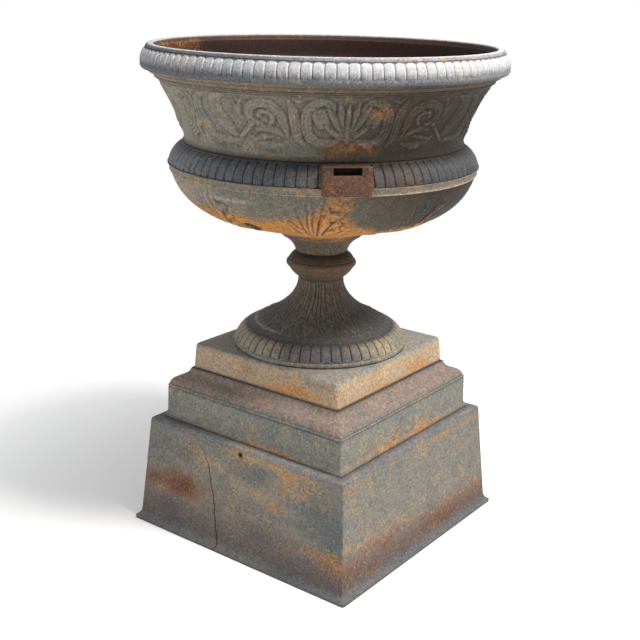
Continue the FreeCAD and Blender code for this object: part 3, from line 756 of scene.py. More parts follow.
# %% Frieze: volute and scroll
frond([(20.5, 908), (26, 903), (31.5, 909), (35.0, 920)], (2, 6, 8, 2), 3.6, ribs=3)
frond([(21.5, 921), (24.5, 930), (28.5, 934), (31.5, 931)], (2, 5, 6, 2), 3.8, ribs=3)
frond([(33.0, 912), (29.5, 918), (26.0, 921)], (2, 5, 2), 3.6)
frond([(34.6, 990), (37.2, 972), (36.6, 952)], (2, 7, 2), 4.0, ribs=3)
frond([(38.6, 914), (36.3, 925), (33.6, 938)], (3.5, 4.5, 3.5))
VOLUTE = [(20.4, 922), (21.4, 944), (22.8, 966), (26.5, 982), (30.6, 980), (33.4, 966), (33.0, 951),
          (29.8, 942)]
frond(VOLUTE, (3, 7, 9, 9, 8, 7, 4), ribs=3)
frond([(26.2, 944), (25.0, 955), (26.8, 966), (29.4, 964), (29.8, 955)], (3, 4.5, 5, 4, 3), 4.0)
frond([(33.2, 941), (33.4, 943)], (5.0, 5.0), 4.6)
frond([(18.9, 990), (17.9, 968), (17.5, 946), (17.1, 926), (14.8, 906)], (3, 8, 9, 8, 3), ribs=3)
SCROLL = [(2.0, 921), (5.6, 911), (10.4, 913), (13.2, 927), (13.9, 946), (13.3, 966), (11.2, 982), (8.0, 988),
          (5.4, 982), (4.8, 970)]
frond(SCROLL, (3, 7, 8.5, 9, 8.5, 7, 3), 4.4, ribs=3)
frond([(8.6, 949), (8.8, 961)], (11.5, 14.5), 4.0, moat=1.8)
frond([(14.0, 992), (15.6, 989), (17.4, 993)], (1.5, 4.0, 1.5), 3.2)
print("spine points: volute", len(VOLUTE), "scroll", len(SCROLL))

# %% Frieze: palmettes and punched lines
PALMETTE = [
    ([(0.8, 918), (4.6, 930), (8.0, 946)], (2, 5, 5, 1), 3.4),
    ([(0.6, 920), (3.6, 948), (6.2, 974), (6.8, 986)], (2, 5, 6.5, 5, 1.5), 3.8),
    ([(0.3, 922), (1.9, 955), (3.1, 990)], (2, 4.5, 5.5, 1.5), 4.0),
    ([(0.0, 914), (0.0, 950), (0.0, 984)], (4, 4.5, 5, 1.5), 4.2),
]
for middle, side in ((0.0, 1.0), (90.0, -1.0)):
    for spine, widths, rise in PALMETTE:
        frond([(middle + side * turn, z) for turn, z in spine], widths, rise)
LINES = [([(37.9, 995), (37.8, 986), (37.2, 978)], 2.0), ([(29.9, 952), (30.0, 951)], 1.6),
         ([(62.5, 979), (62.7, 978)], 2.2)]
for spine, width in LINES:
    frond(spine, (width, width), -1.8, moat=0.0)
frieze = softened(frieze, 1)
wall_z = wall[:, 1][:, None]
frieze -= 0.9 * bell(wall_z, 999.0, 1.5)
frieze_sunk, frieze_proud = hollows_and_crests(frieze, 1.45)
frieze_ground = ramp(frieze, 1.2, 0.0) * ramp(wall_z, 908.0, 922.0)
print("frieze rises", round(float(frieze.max()), 1), "mm on", frieze.shape, "points")

# %% Upper bowl wall: the casting
wall_foot = chain(run((294.5, JOINT_LEVEL), (295.6, 873.3), 2), run((296.6, 874.6), (296.2, 877.0), 2),
                  run((294.4, 882.4), (294.1, 883.6), 2))
FLANGE = 262.0
wall_lining = chain(
    run((345.0, 1003.6), (337.4, 1003.6), 2),
    bezier((336.3, 1002.6), (305.0, 950.0), (284.5, 887.0), np.linspace(0, 1, 14)),
    run((283.0, 885.2), (263.0, 885.0), 4),
    run((FLANGE, 884.0), (FLANGE, 874.0), 3),
    run((263.0, JOINT_LEVEL), (291.0, JOINT_LEVEL), 3),
)
cut_back = 3.0 * ramp(wall_z, 903.0, 940.0) * ramp(wall_z, 1003.0, 988.0)
outer_wall = np.vstack([turned(wall_foot, wall_azimuth), turned(wall, wall_azimuth, frieze - cut_back)])
wall_bands = [outer_wall, turned(wall_lining, even(150))]
wall_body, wall_around, wall_up, wall_outside = casting(wall_bands)
print("frieze wall of", len(outer_wall), "rows")

# %% Upper bowl wall: colours and marks
OLIVE = (0.205, 0.183, 0.146)
OLIVE_LOW = (0.195, 0.176, 0.140)
# A dark brown for the right of the wall: part real patina, part painted shade.
BROWN_PATINA_AND_SHADE = (0.034, 0.024, 0.014)
MAROON = (0.022, 0.007, 0.005)
wall_tint = banded(wall_up, (880, OLIVE_LOW), (905, OLIVE_LOW), (925, OLIVE), (1003, OLIVE))
# Painted light and shade: the wall is painted paler on the left and darker to the right. It is also browner
# there, partly from a real brown patina and partly from painted shade under the rim.
wall_painted_light_and_shade = np.interp(wall_around, [-180, -110, -50, -12, 12, 42, 180],
                     [1.0, 1.05, 1.22, 1.14, 1.0, 0.76, 1.0])
brown_patina_and_shade = 0.95 * ramp(wall_around, 32.0, 66.0) * ramp(wall_around, 170.0, 125.0)
wall_tint = towards(wall_tint * wall_painted_light_and_shade[:, None], brown_patina_and_shade, BROWN_PATINA_AND_SHADE)
wall_tint = np.where(wall_outside[:, None], wall_tint, MAROON)
WALL_RUST = [(47, 903, 11, 24, 0.66), (55, 968, 7, 22, 0.50), (72, 972, 9, 16, 0.34)]
wall_rust = -0.06 + spots(wall_around, wall_up, WALL_RUST) + 0.16 * bell(wall_up, 1000, 6)
# Painted light: the inside's rust is painted brighter and more orange on the left, as if lit there.
inside_painted_light = bell(wall_around, -72.0, 32.0)
wall_rust = np.where(wall_outside, wall_rust, -0.05 + 0.38 * inside_painted_light)
wall_ochre = np.where(wall_outside, 0.28 + 0.22 * bell(wall_around, 50, 14), 0.05 + 0.28 * inside_painted_light)
# Dark at the joint under the frieze: a dark joint with painted shade over it. Painted shade also darkens the
# frieze's hollows and its ground, and a line under the rim's fillet.
joint_dark_and_shade = np.array([0.95, 0.95, 0.9, 0.75, 0.35, 0.2])[:, None] + 0.0 * wall_azimuth
wall_dirt_and_shade = np.clip(0.80 * frieze_sunk + 0.10 * frieze_ground + 0.35 * bell(wall_z, 999.0, 2.0), 0, 1)
wall_dirt_and_shade = np.vstack([joint_dark_and_shade, wall_dirt_and_shade])
wall_wear = np.vstack([0.0 * joint_dark_and_shade, 0.14 * frieze_proud])
wall_marks = {"rust": wall_rust, "ochre": wall_ochre, "groove": spread(wall_bands, [wall_dirt_and_shade, 0.0]),
              "wear": spread(wall_bands, [wall_wear, 0.0])}
make_piece("upper_bowl_wall", wall_body, "upper_bowl", bowl_finish, wall_tint, wall_marks)

# %% [markdown]
# ## Upper bowl: the rim
# Above the frieze a cove with two fillets swells out to a band of 112 lobes, closed at the top by a cut
# groove and a smooth lip. The lobes are one pillow formula over the turned profile, twelve columns
# to a lobe; the smooth inside needs far fewer. Paint is worn off along the edges of each lobe, and
# the stronger pale line on each right edge is a painted highlight.

# %% Rim: profile and lobes
RIM_LOBES = 112
rim_azimuth = lobe_azimuths(RIM_LOBES)
rim_profile = chain(
    run((351.0, 1003.7), (352.4, 1004.0), 2),
    run((353.0, 1004.6), (353.2, 1006.2), 2),
    arc((352.8, 1006.9), (360.2, 1013.2), -0.8, 5),
    run((361.6, 1013.6), (363.2, 1014.4), 2),
    run((363.5, 1015.2), (363.4, 1016.2), 2),
    arc((363.8, 1016.6), (376.6, 1021.8), -2.0, 6),
    arc((377.6, 1022.6), (380.7, 1030.4), 1.1, 6),
    arc((380.5, 1031.6), (371.8, 1061.2), 3.1, 17),
    run((370.6, 1061.9), (367.6, 1062.7), 3),
    arc((369.2, 1063.6), (361.5, 1069.8), 1.9, 8),
    run((360.6, RIM_LEVEL), (357.0, RIM_LEVEL), 2),
)
rim_z = rim_profile[:, 1][:, None]
RIM_LOBE_FOOT = 1028.0
RIM_LOBE_TOP = 1061.4
rim_along = (rim_profile[:, 1] - RIM_LOBE_FOOT) / (RIM_LOBE_TOP - RIM_LOBE_FOOT)
rim_along[np.argmax(rim_profile[:, 1] > RIM_LOBE_TOP + 0.1):] = -1.0
rim_sink, rim_groove = lobes(RIM_LOBES, rim_azimuth, rim_along, 2.8, 5.0)
rim_fade = ramp(rim_along, 0.0, 0.22)[:, None]
rim_sink, rim_groove = rim_sink * rim_fade, rim_groove * rim_fade
rim_lining = chain(
    run((355.5, 1069.8), (353.2, 1068.8), 2),
    run((352.4, 1067.2), (351.6, 1059.0), 3),
    run((349.9, 1057.8), (347.6, 1023.0), 5),
    bezier((347.4, 1022.0), (341.0, 1012.0), (337.4, 1004.8), np.linspace(0, 1, 4)),
    run((338.4, 1003.7), (347.0, 1003.7), 2),
)
rim_bands = [turned(rim_profile, rim_azimuth, rim_sink), turned(rim_lining, even(168))]
rim_body, rim_around, rim_up, rim_outside = casting(rim_bands)
print("rim of", len(rim_profile), "rows and", len(rim_azimuth), "columns")

# %% Rim: colours
COVE_TAN = (0.215, 0.168, 0.122)
RIM_UNDER_SHADE = (0.135, 0.140, 0.150)
RIM_PALE = (0.350, 0.352, 0.365)
LIP_MAUVE = (0.200, 0.195, 0.210)
INNER_EDGE = (0.045, 0.021, 0.015)
INNER_LIP = (0.075, 0.040, 0.030)
COVE_TOP = 1021.5
# The lower part of the lobes is painted dark as shade under the rim's turn.
rim_tint = banded(rim_up, (1003, COVE_TAN), (1020, COVE_TAN), (1023, RIM_UNDER_SHADE), (1033, RIM_UNDER_SHADE),
                  (1046, RIM_PALE), (1060, RIM_PALE), (1063, LIP_MAUVE), (1068, LIP_MAUVE),
                  (RIM_LEVEL, RIM_PALE))
# Painted light and shade by azimuth: the cove is painted darker to the right, as shade under the rim, and the
# lobes are painted darker on the left and paler to the right, as if lit there.
cove_painted_shade = np.interp(rim_around, [-180, 5, 36, 66, 110, 150, 180], [1.0, 1.0, 0.72, 0.38, 0.38, 1.0, 1.0])
rim_painted_light_and_shade = np.interp(rim_around, [-180, -120, -50, 0, 40, 90, 125, 180],
                     [0.95, 0.78, 0.68, 0.86, 1.08, 1.20, 1.17, 0.95])
rim_tint = rim_tint * np.where(rim_up < COVE_TOP, cove_painted_shade, rim_painted_light_and_shade)[:, None]
# Painted shade: the shaded left of the rim is painted bluer.
rim_shade_blue = bell(rim_around, -60.0, 45.0) * (rim_up > COVE_TOP)
rim_tint = rim_tint * (1.0 + rim_shade_blue[:, None] * np.array((-0.06, 0.0, 0.10)))
# Painted shade: the lip is painted darker on the left.
lip_painted_shade = np.interp(rim_around, [-180, -60, 15, 50, 110, 180], [0.2, 0.5, 0.45, 0.0, 0.0, 0.2])
on_lip = ramp(rim_up, 1061.0, 1063.0) * ramp(rim_up, 1069.6, 1068.4)
rim_tint = rim_tint * (1.0 - lip_painted_shade * on_lip)[:, None]
inner_tint = banded(rim_up, (1003, MAROON), (1056, MAROON), (1060, INNER_EDGE), (1067, INNER_LIP),
                    (1069, RIM_PALE))
rim_tint = np.where(rim_outside[:, None], rim_tint, inner_tint)
print("mean rim colour", rim_tint.mean(0).round(3))

# %% Rim: marks
# Painted light: the inside's rust is painted brighter and more orange on the left, as if lit there.
inside_painted_light = ~rim_outside * bell(rim_around, -72.0, 32.0)
lining_rust = np.where(rim_up < 1067.0, -0.05, -0.1)
rim_rust = np.where(rim_outside, -0.15 + 0.32 * bell(rim_up, 1010, 8), lining_rust)
rim_rust += 0.42 * inside_painted_light * (rim_up < 1066.0)
rim_ochre = np.where(rim_outside, 0.45, 0.12 + 0.30 * inside_painted_light)
# Dark grooves between the lobes and dark lines at the fillets; the line at 1023, under the rim's turn, is
# painted shade.
rim_dirt_and_shade = rim_groove * 0.50 + 0.65 * bell(rim_z, 1062.3, 0.8) + 0.5 * bell(rim_z, 1014.0, 0.9)
rim_dirt_and_shade = np.clip(rim_dirt_and_shade + 0.55 * bell(rim_z, 1006.7, 0.9) + 0.35 * bell(rim_z, 1023.0, 1.2), 0.0, 1.0)
rim_phase = lobe_phase(RIM_LOBES, rim_azimuth)
# Pale worn edges on both sides of each lobe; the stronger line on the right edge is a painted highlight.
lobe_wear_and_highlight = 0.75 * bell(rim_phase, 0.385, 0.055) + 0.2 * bell(rim_phase, 0.615, 0.055)
lobe_wear_and_highlight = lobe_wear_and_highlight[None, :] * (ramp(rim_along, 0.15, 0.4) * (rim_along < 0.97))[:, None]
lobe_crown = (0.25 * ramp(rim_along, 0.5, 0.9) * (rim_along < 1.0))[:, None]
rim_wear = lobe_wear_and_highlight + lobe_crown + 0.5 * bell(rim_z, 1069.9, 0.5)
rim_marks = {"rust": rim_rust, "ochre": rim_ochre, "groove": spread(rim_bands, [rim_dirt_and_shade, 0.0]),
             "wear": spread(rim_bands, [rim_wear, 0.0])}
make_piece("upper_bowl_rim", rim_body, "upper_bowl", bowl_finish, rim_tint, rim_marks)

# %% [markdown]
# ## Lower bowl: the cup
# The lower half is a shallow cup under a lobed shoulder. Eight groups of leaves climb it from the neck: a
# tall flat leaf, a fan of blades to its left and a toothed leaf to its right, all low, with lines cut into
# them for edges and veins. A cut line is the same carving as a blade, with a rise below zero.
# Rust has spread over the whole underside up to an uneven line. The drain hole at the front goes right
# through, so it is cut with a boolean, which keeps its edge round whatever the grid.

# %% Cup: leaves
LEAF_AZIMUTH = 33.5
LEAF_PITCH = 45.0
CUP_COLUMNS = 944
cup_azimuth = even(CUP_COLUMNS)
cup = chain(arc((88.0, STEM_LEVEL), (104.0, 684.0), -1.6, 12),
            spline([(104.2, 684.1), (150.0, 697.0), (205.0, 711.5), (255.0, 729.5),
                    (300.2, 766.3), (324.0, 816.0)], 400))
cup = cup[cup[:, 1] < 814.0]
CUP_ROWS = 88
even_steps = np.linspace(0, lengths(cup)[-1], CUP_ROWS)
cup = np.stack([np.interp(even_steps, lengths(cup), cup[:, k]) for k in (0, 1)], 1)
cup_length = lengths(cup)
leaf_turn = (np.degrees(cup_azimuth) - LEAF_AZIMUTH + LEAF_PITCH / 2) % LEAF_PITCH - LEAF_PITCH / 2
leaf_u = np.radians(leaf_turn)[None, :] * cup[:, :1]
leaf_v = np.repeat(cup_length[:, None], CUP_COLUMNS, 1)
leaves = np.zeros_like(leaf_u)


def blade(spine, widths, rise, moat=2.4):
    """One blade of a leaf on the cup, along (degrees from the leaf's middle, height)."""
    p = np.array(spine, float)
    r = np.interp(p[:, 1], cup[:, 1], cup[:, 0])
    path = np.stack([np.radians(p[:, 0]) * r, np.interp(p[:, 1], cup[:, 1], cup_length)], 1)
    carve(leaves, leaf_u, leaf_v, path, 1.2 * np.array(widths), rise, 1, moat, 3.2)


blade([(-0.8, 704), (-1.0, 738), (-1.2, 770), (-0.8, 800)], (4, 12, 13, 2), 1.3, moat=1.6)
blade([(-1.8, 700), (-4.6, 722), (-6.8, 743), (-8.8, 759)], (3, 7, 6, 1), 1.3)
blade([(-2.6, 698), (-6.0, 712), (-9.0, 727), (-12.4, 738)], (3, 6, 6, 1), 1.3)
blade([(-3.6, 696), (-9.0, 707), (-14.0, 716), (-18.5, 721)], (3, 6, 6, 1), 1.3)
blade([(2.4, 698), (8.0, 708), (14.0, 719), (20.0, 727)], (3, 7, 6, 1), 1.3)
TEETH = (736.0, 754.0, 775.0)
for tip in TEETH:
    blade([(4.2, tip - 15.0), (8.0, tip - 1.0), (11.5, tip)], (8, 8, 0.8), 2.5)
blade([(1.5, 704), (3.2, 736), (5.2, 764), (6.1, 790)], (3, 8, 9, 0.8), 2.6, moat=1.2)
print("leaf groups:", round(360.0 / LEAF_PITCH))

# %% Cup: lines cut into the leaves
LEAF_ROOT = 703.0


def cut(spine, widths=(1.7, 1.7)):
    """A line cut into the leaves: a blade that sinks, without a moat beside it."""
    blade(spine, widths, -2.3, moat=0.0)


def vein(root, tip, top, bow=0.0):
    """A cut line from the leaf's root up to (tip, top), bowed sideways by bow degrees half way."""
    share = np.linspace(0.0, 1.0, 4)
    degrees = root + (tip - root) * share + 4.0 * bow * share * (1.0 - share)
    cut(np.stack([degrees, LEAF_ROOT + (top - LEAF_ROOT) * share], 1), (1.0, 1.9, 1.9, 1.0))


vein(-1.0, -1.5, 785.0, -0.7)
vein(0.5, 0.0, 780.0, -0.3)
vein(-2.0, -6.0, 790.0)
vein(1.0, 4.5, 810.0, -0.3)
vein(-3.5, -8.0, 745.0)
vein(-4.5, -10.5, 730.0)
for tip in TEETH:
    for notch in (tip - 9.0, tip + 10.0):
        cut([(10.0, notch), (12.0, tip)])
cut([(6.0, 793.0), (7.0, 784.0), (10.0, 785.0)])
cut([(11.0, 736.0), (16.0, 733.0), (21.0, 730.0)], (1.0, 1.9, 1.0))
cut([(3.5, 722.0), (6.0, 745.0), (8.5, 762.0)], (1.0, 1.9, 1.0))
leaves = softened(leaves, 1) * ramp(cup[:, 1], 680.0, 688.0)[:, None]
leaf_sunk, leaf_proud = hollows_and_crests(leaves, 1.1)
print("leaves rise", round(float(leaves.max()), 1), "mm")

# %% Cup: the casting
SPIGOT = 39.5
ROD_HOLE = 8.75
CUP_WALL = 10.0
cup_lining = (cup - CUP_WALL * profile_normals(cup))[::-6]
cup_lining = cup_lining[(cup_lining[:, 1] > 699.0) & (cup_lining[:, 1] < 808.0)]
cup_floor = chain(
    run((322.0, 814.0), (313.5, 814.0), 2),
    cup_lining,
    run((90.0, 690.0), (60.0, 682.0), 3),
    run((30.0, 682.0), (ROD_HOLE, 682.0), 2),
    run((ROD_HOLE, 681.0), (ROD_HOLE, 663.0), 3),
    run((ROD_HOLE + 1.0, 662.0), (SPIGOT - 1.0, 662.0), 2),
    run((SPIGOT, 663.0), (SPIGOT, 669.8), 2),
    run((42.0, STEM_LEVEL), (86.0, STEM_LEVEL), 3),
)
cup_bands = [turned(cup, cup_azimuth, leaves), turned(cup_floor, even(144))]
cup_body, cup_around, cup_up, cup_outside = casting(cup_bands)
print("cup of", len(cup), "rows outside and", len(cup_floor), "inside")

# %% Cup: colours
CUP_OLIVE = (0.200, 0.176, 0.138)
CUP_PALE = (0.222, 0.198, 0.160)
CUP_MID = (0.168, 0.149, 0.115)
CUP_SHADED = (0.138, 0.121, 0.092)
CUP_DEEP_SHADE = (0.070, 0.057, 0.040)
# Painted light and shade by azimuth: the cup is painted paler on the left and darker towards the right, as
# shade under the rim.
cup_tint = banded(cup_around, (-180, CUP_OLIVE), (-60, CUP_PALE), (-12, CUP_PALE), (10, CUP_MID),
                  (36, CUP_SHADED), (62, CUP_DEEP_SHADE), (105, CUP_DEEP_SHADE), (150, CUP_OLIVE), (180, CUP_OLIVE))
CUP_NECK = (0.120, 0.096, 0.064)
cup_tint = towards(cup_tint, ramp(cup_up, 700.0, 684.0), CUP_NECK)
# Darker still to the right: soot in part, and in part painted shade.
soot_and_shade = 0.55 * ramp(cup_around, 58.0, 84.0) * ramp(cup_around, 170.0, 130.0)
cup_tint = cup_tint * (1.0 - soot_and_shade[:, None] * np.array((1.0, 1.05, 1.12)))
cup_tint = np.where(cup_outside[:, None], cup_tint, MAROON)
print("mean cup colour", cup_tint.mean(0).round(3))

# %% Cup: rust, dirt and the drain hole
RUST_LINE = ((-180, 748), (-110, 760), (-60, 752), (-19, 766), (-6, 763), (5, 763), (11, 754), (21, 761),
             (28, 764), (36, 769), (48, 752), (56, 742), (64, 731), (80, 733), (120, 748), (180, 748))
rust_line = np.interp(cup_around, [a for a, _ in RUST_LINE], [z for _, z in RUST_LINE])
cup_rust = -0.14 + 1.05 * ramp(cup_up - rust_line, 24.0, -24.0)
cup_rust += 0.62 * bell(cup_around, 43, 6.5) * ramp(cup_up, 745, 765) * ramp(cup_up - rust_line, -10.0, 12.0)
cup_rust += 0.30 * bell(cup_around, 37, 8) * bell(cup_up, 782, 22)
cup_rust += 0.26 * spread(cup_bands, [leaves > 1.5, 0.0]) * ramp(cup_up, 800, 770)
cup_rust -= 0.75 * ramp(cup_up, 691.0, 677.0)
cup_rust = np.where(cup_outside, cup_rust, -0.05)
cup_ochre = np.where(cup_outside, 0.66 + 0.24 * ramp(cup_up, 775, 715), 0.05)
cup_fleck = 0.45 * bell(cup_around, 3.0, 9.0) * bell(cup_up, 792, 4.0)
cup_marks = {"rust": cup_rust, "ochre": cup_ochre,
             "groove": spread(cup_bands, [0.85 * leaf_sunk, 0.0]),
             "wear": np.clip(spread(cup_bands, [0.16 * leaf_proud, 0.0]) + cup_fleck, 0.0, 1.0)}
cup_piece = make_piece("lower_bowl_cup", cup_body, "lower_bowl", bowl_finish, cup_tint,
                       cup_marks)
DRAIN_AZIMUTH = math.radians(5.0)
DRAIN_REACH = 257.0
DRAIN_RADIUS = 17.0
drain_x, drain_y = DRAIN_REACH * math.sin(DRAIN_AZIMUTH), -DRAIN_REACH * math.cos(DRAIN_AZIMUTH)
drill(cup_piece, (drain_x, drain_y, 700.0), (drain_x, drain_y, 770.0), DRAIN_RADIUS)

# %% [markdown]
# ## Lower bowl: the shoulder and its sockets
# A rail, a cut line and 96 lobes close the lower bowl at the joint. A plain block stands on the shoulder at
# each side, with a slot for the tang of a handle that is now lost. Behind the blocks the shoulder is drawn
# in, so that the slot has room. Seen from the front a block is a rectangle inside a rectangle, so its
# surface is a set of rectangular loops: from the slot's back wall to its mouth, across the face, over a
# worn edge and back into the shoulder. A square loop with rounded corners is (w - c) times a square plus c
# times the direction that each point faces, for half width w and corner radius c; a rectangle has two w.

# %% Shoulder: profile and lobes
SHOULDER_LOBES = 96
shoulder_azimuth = lobe_azimuths(SHOULDER_LOBES)
shoulder_profile = chain(
    run((323.4, 814.1), (325.4, 814.2), 2),
    arc((326.2, 814.8), (326.0, 817.0), 0.5, 4),
    arc((325.8, 817.6), (329.8, 828.4), -0.6, 6),
    run((329.9, 829.6), (328.6, 830.6), 2),
    run((326.2, 831.0), (327.4, 832.0), 3),
    arc((327.8, 833.0), (299.8, 869.6), 5.2, 18),
    run((298.8, 871.2), (297.4, 872.6), 3),
    run((296.4, JOINT_LEVEL), (293.0, JOINT_LEVEL), 2),
)
shoulder_z = shoulder_profile[:, 1][:, None]
SHOULDER_LOBE_FOOT = 832.2
SHOULDER_LOBE_TOP = 870.6
shoulder_along = (shoulder_profile[:, 1] - SHOULDER_LOBE_FOOT) / (SHOULDER_LOBE_TOP - SHOULDER_LOBE_FOOT)
shoulder_sink, shoulder_groove = lobes(SHOULDER_LOBES, shoulder_azimuth, shoulder_along, 3.2, 5.0, 9.0)
SOCKET_HALF_WIDTH = 47.0
SHOULDER_RADIUS = 330.0
BEHIND_SOCKET = 303.0
socket_half = math.degrees(math.asin(SOCKET_HALF_WIDTH / SHOULDER_RADIUS))
beside = ramp(folded(shoulder_azimuth), socket_half - 1.2, socket_half - 0.4)
shoulder_band = turned(shoulder_profile, shoulder_azimuth, shoulder_sink * beside)
shoulder_radius = np.hypot(shoulder_band[..., 0], shoulder_band[..., 1])
pulled = np.minimum(shoulder_radius, BEHIND_SOCKET) - shoulder_radius
pulled *= ramp(shoulder_z, 815.5, 818.0)
shoulder_band[..., :2] *= (1.0 + pulled * (1.0 - beside) / shoulder_radius)[..., None]
shoulder_lining = chain(
    run((290.0, JOINT_LEVEL), (263.0, JOINT_LEVEL), 3),
    run((FLANGE, 872.0), (FLANGE, 862.0), 3),
    run((263.0, 861.0), (296.0, 861.0), 4),
    arc((298.5, 858.0), (312.0, 822.0), 1.5, 5),
    run((313.0, 814.2), (320.0, 814.1), 2),
)
shoulder_bands = [shoulder_band, turned(shoulder_lining, even(144))]
shoulder_body, shoulder_around, shoulder_up, shoulder_outside = casting(shoulder_bands)
print("shoulder of", len(shoulder_profile), "rows and", len(shoulder_azimuth), "columns")

# %% Shoulder: colours and marks
RAIL_TAN = (0.200, 0.165, 0.122)
LOBE_SLATE = (0.097, 0.105, 0.115)
LOBE_TOP_SHADE = (0.055, 0.057, 0.062)
# The top of the lobes is painted dark as shade under the wall.
shoulder_tint = banded(shoulder_up, (814, RAIL_TAN), (829, RAIL_TAN), (832, LOBE_SLATE), (856, LOBE_SLATE),
                       (870, LOBE_TOP_SHADE))
# Painted light and shade: the lobes are painted paler on the left and darker to the right.
lobe_painted_light_and_shade = np.interp(shoulder_around, [-180, -70, -25, 8, 34, 56, 105, 150, 180],
                      [1.0, 1.50, 1.38, 0.92, 0.74, 0.48, 0.48, 1.0, 1.0])[:, None]
shoulder_tint = np.where(shoulder_up[:, None] > 830.5, shoulder_tint * lobe_painted_light_and_shade, shoulder_tint)
LOBE_MAUVE = (0.058, 0.038, 0.031)
mauve = 0.75 * bell(shoulder_around, 64.0, 12.0) * ramp(shoulder_up, 830, 834)
shoulder_tint = towards(shoulder_tint, mauve, LOBE_MAUVE)
shoulder_tint = np.where(shoulder_outside[:, None], shoulder_tint, MAROON)
near_socket = ramp(folded(np.radians(shoulder_around)), 14.0, 8.5)
shoulder_rust = -0.10 + 0.45 * near_socket * ramp(shoulder_up, 822, 830)
shoulder_rust += 0.40 * bell(shoulder_around, 47, 12) * ramp(shoulder_up, 832, 826)
shoulder_rust = np.where(shoulder_outside, shoulder_rust, -0.05)
# Dark grooves between the lobes and a line below them; the band at the top, under the wall, is painted shade.
shoulder_dirt_and_shade = shoulder_groove * beside * 0.95 + 0.55 * bell(shoulder_z, 831.0, 0.9)
shoulder_dirt_and_shade = shoulder_dirt_and_shade + 0.8 * ramp(shoulder_z, 870.0, 872.5)
# A pale line on the fillet: partly wear, partly a painted highlight.
fillet_wear_and_highlight = 0.35 * bell(shoulder_z, 815.6, 0.9)
shoulder_marks = {"rust": shoulder_rust, "ochre": 0.35,
                  "groove": spread(shoulder_bands, [np.clip(shoulder_dirt_and_shade, 0.0, 1.0), 0.0]),
                  "wear": spread(shoulder_bands, [fillet_wear_and_highlight, 0.0])}
make_piece("lower_bowl_shoulder", shoulder_body, "lower_bowl", bowl_finish, shoulder_tint,
           shoulder_marks)


# %% Square loops with rounded corners
def square_loop(side_points, corner_points):
    """The square and the facing directions, going round from the left end of the front side."""
    s = np.linspace(-1.0, 1.0, side_points)
    theta = np.radians(np.linspace(-90.0, 0.0, corner_points + 2)[1:-1])
    square = np.vstack([np.stack([s, -np.ones_like(s)], 1), np.tile([1.0, -1.0], (corner_points, 1))])
    facing = np.vstack([np.tile([0.0, -1.0], (side_points, 1)), np.stack([np.cos(theta), np.sin(theta)], 1)])
    quarter = np.array([[0.0, 1.0], [-1.0, 0.0]])
    turns = [np.linalg.matrix_power(quarter, k) for k in range(4)]
    return np.vstack([square @ t for t in turns]), np.vstack([facing @ t for t in turns])


socket_square, socket_facing = square_loop(13, 2)
print("points to a loop of the socket:", len(socket_square))

# %% Handle sockets: shape
# Each loop: reach from the axis, half width, low, high and corner radius.
SOCKET_LOOPS = np.array([
    (307.5, 24.5, 859.0, 867.0, 1.0), (307.2, 26.0, 856.8, 869.4, 1.0), (309.0, 26.5, 856.2, 869.9, 1.0),
    (332.0, 26.5, 856.0, 870.0, 1.0), (333.4, 27.2, 855.2, 870.5, 1.4), (333.9, 28.4, 854.0, 871.0, 1.8),
    (334.0, 31.0, 850.0, 871.1, 2.0), (333.8, 38.0, 838.0, 871.2, 2.4), (333.9, 44.6, 819.0, 871.4, 3.0),
    (333.1, 46.2, 817.0, 872.3, 3.2), (331.4, 47.0, 816.2, 872.9, 3.4), (318.0, 47.0, 816.2, 872.9, 3.4),
    (296.0, 47.0, 816.2, 872.9, 3.4), (286.0, 46.0, 817.0, 872.0, 2.0),
])
SLOT_LOOPS = 4


def socket_block(turn):
    """A block with its slot, turned to face azimuth turn: the socket's loops, with shallow pits over
    every face, and a flat end at the back of the slot and inside the shoulder."""
    start, half, low, high, c = (SOCKET_LOOPS[:, k:k + 1] for k in range(5))
    across = (half - c) * socket_square[:, 0] + c * socket_facing[:, 0]
    up = (low + high) / 2 + ((high - low) / 2 - c) * socket_square[:, 1] + c * socket_facing[:, 1]
    reach = start - 0.5 * (0.5 + 0.5 * np.sin(across * 0.31 + up * 0.17) * np.sin(up * 0.23 - 1.0))
    out = np.array([math.sin(turn), -math.cos(turn)])
    side = np.array([math.cos(turn), math.sin(turn)])
    points = np.concatenate([reach[..., None] * out + across[..., None] * side, up[..., None]], -1)
    rows, columns = reach.shape
    ends = [np.arange(columns)[::-1], (rows - 1) * columns + np.arange(columns)]
    return points.reshape(-1, 3), grid_quads(rows, columns), np.zeros((0, 3), int), ends


print("loops of a socket:", len(SOCKET_LOOPS), "of which", SLOT_LOOPS, "line the slot")

# %% Handle sockets: the two pieces
SOCKET_FOOT = (0.110, 0.064, 0.042)
SOCKET_BROWN = (0.108, 0.049, 0.031)
SOCKET_TOP = (0.055, 0.030, 0.023)
for name, turn in (("front", SOCKET_AZIMUTH), ("back", SOCKET_AZIMUTH + math.pi)):
    socket = socket_block(turn)
    tint = banded(socket[0][:, 2], (816, SOCKET_FOOT), (824, SOCKET_BROWN), (850, SOCKET_BROWN),
                  (868, SOCKET_TOP))
    # The slot's lining gets the full groove mark: it is painted dark as shade inside the slot.
    slot_painted_shade = np.arange(len(socket[0])) < SLOT_LOOPS * len(socket_square)
    make_piece("handle_socket_" + name, socket, "lower_bowl", socket_finish, tint,
               {"rust": 0.40, "ochre": 0.16, "groove": slot_painted_shade.astype(float)}, crease=40.0)

# %% [markdown]
# ## Stem
# The stem is a hollow casting: a ring of lobes on the foot, a smooth dark step with a thin bead, a dome and
# trumpet wrapped in long pointed leaves, a knop, and a neck with small upright leaves. Screw or Spin could
# turn its outline, but every lobe and leaf would have to be set on it by hand. As a grid it turns like the
# bowls, with 624 columns, twelve to each of the 52 lobes, which is also fine enough for the leaves.

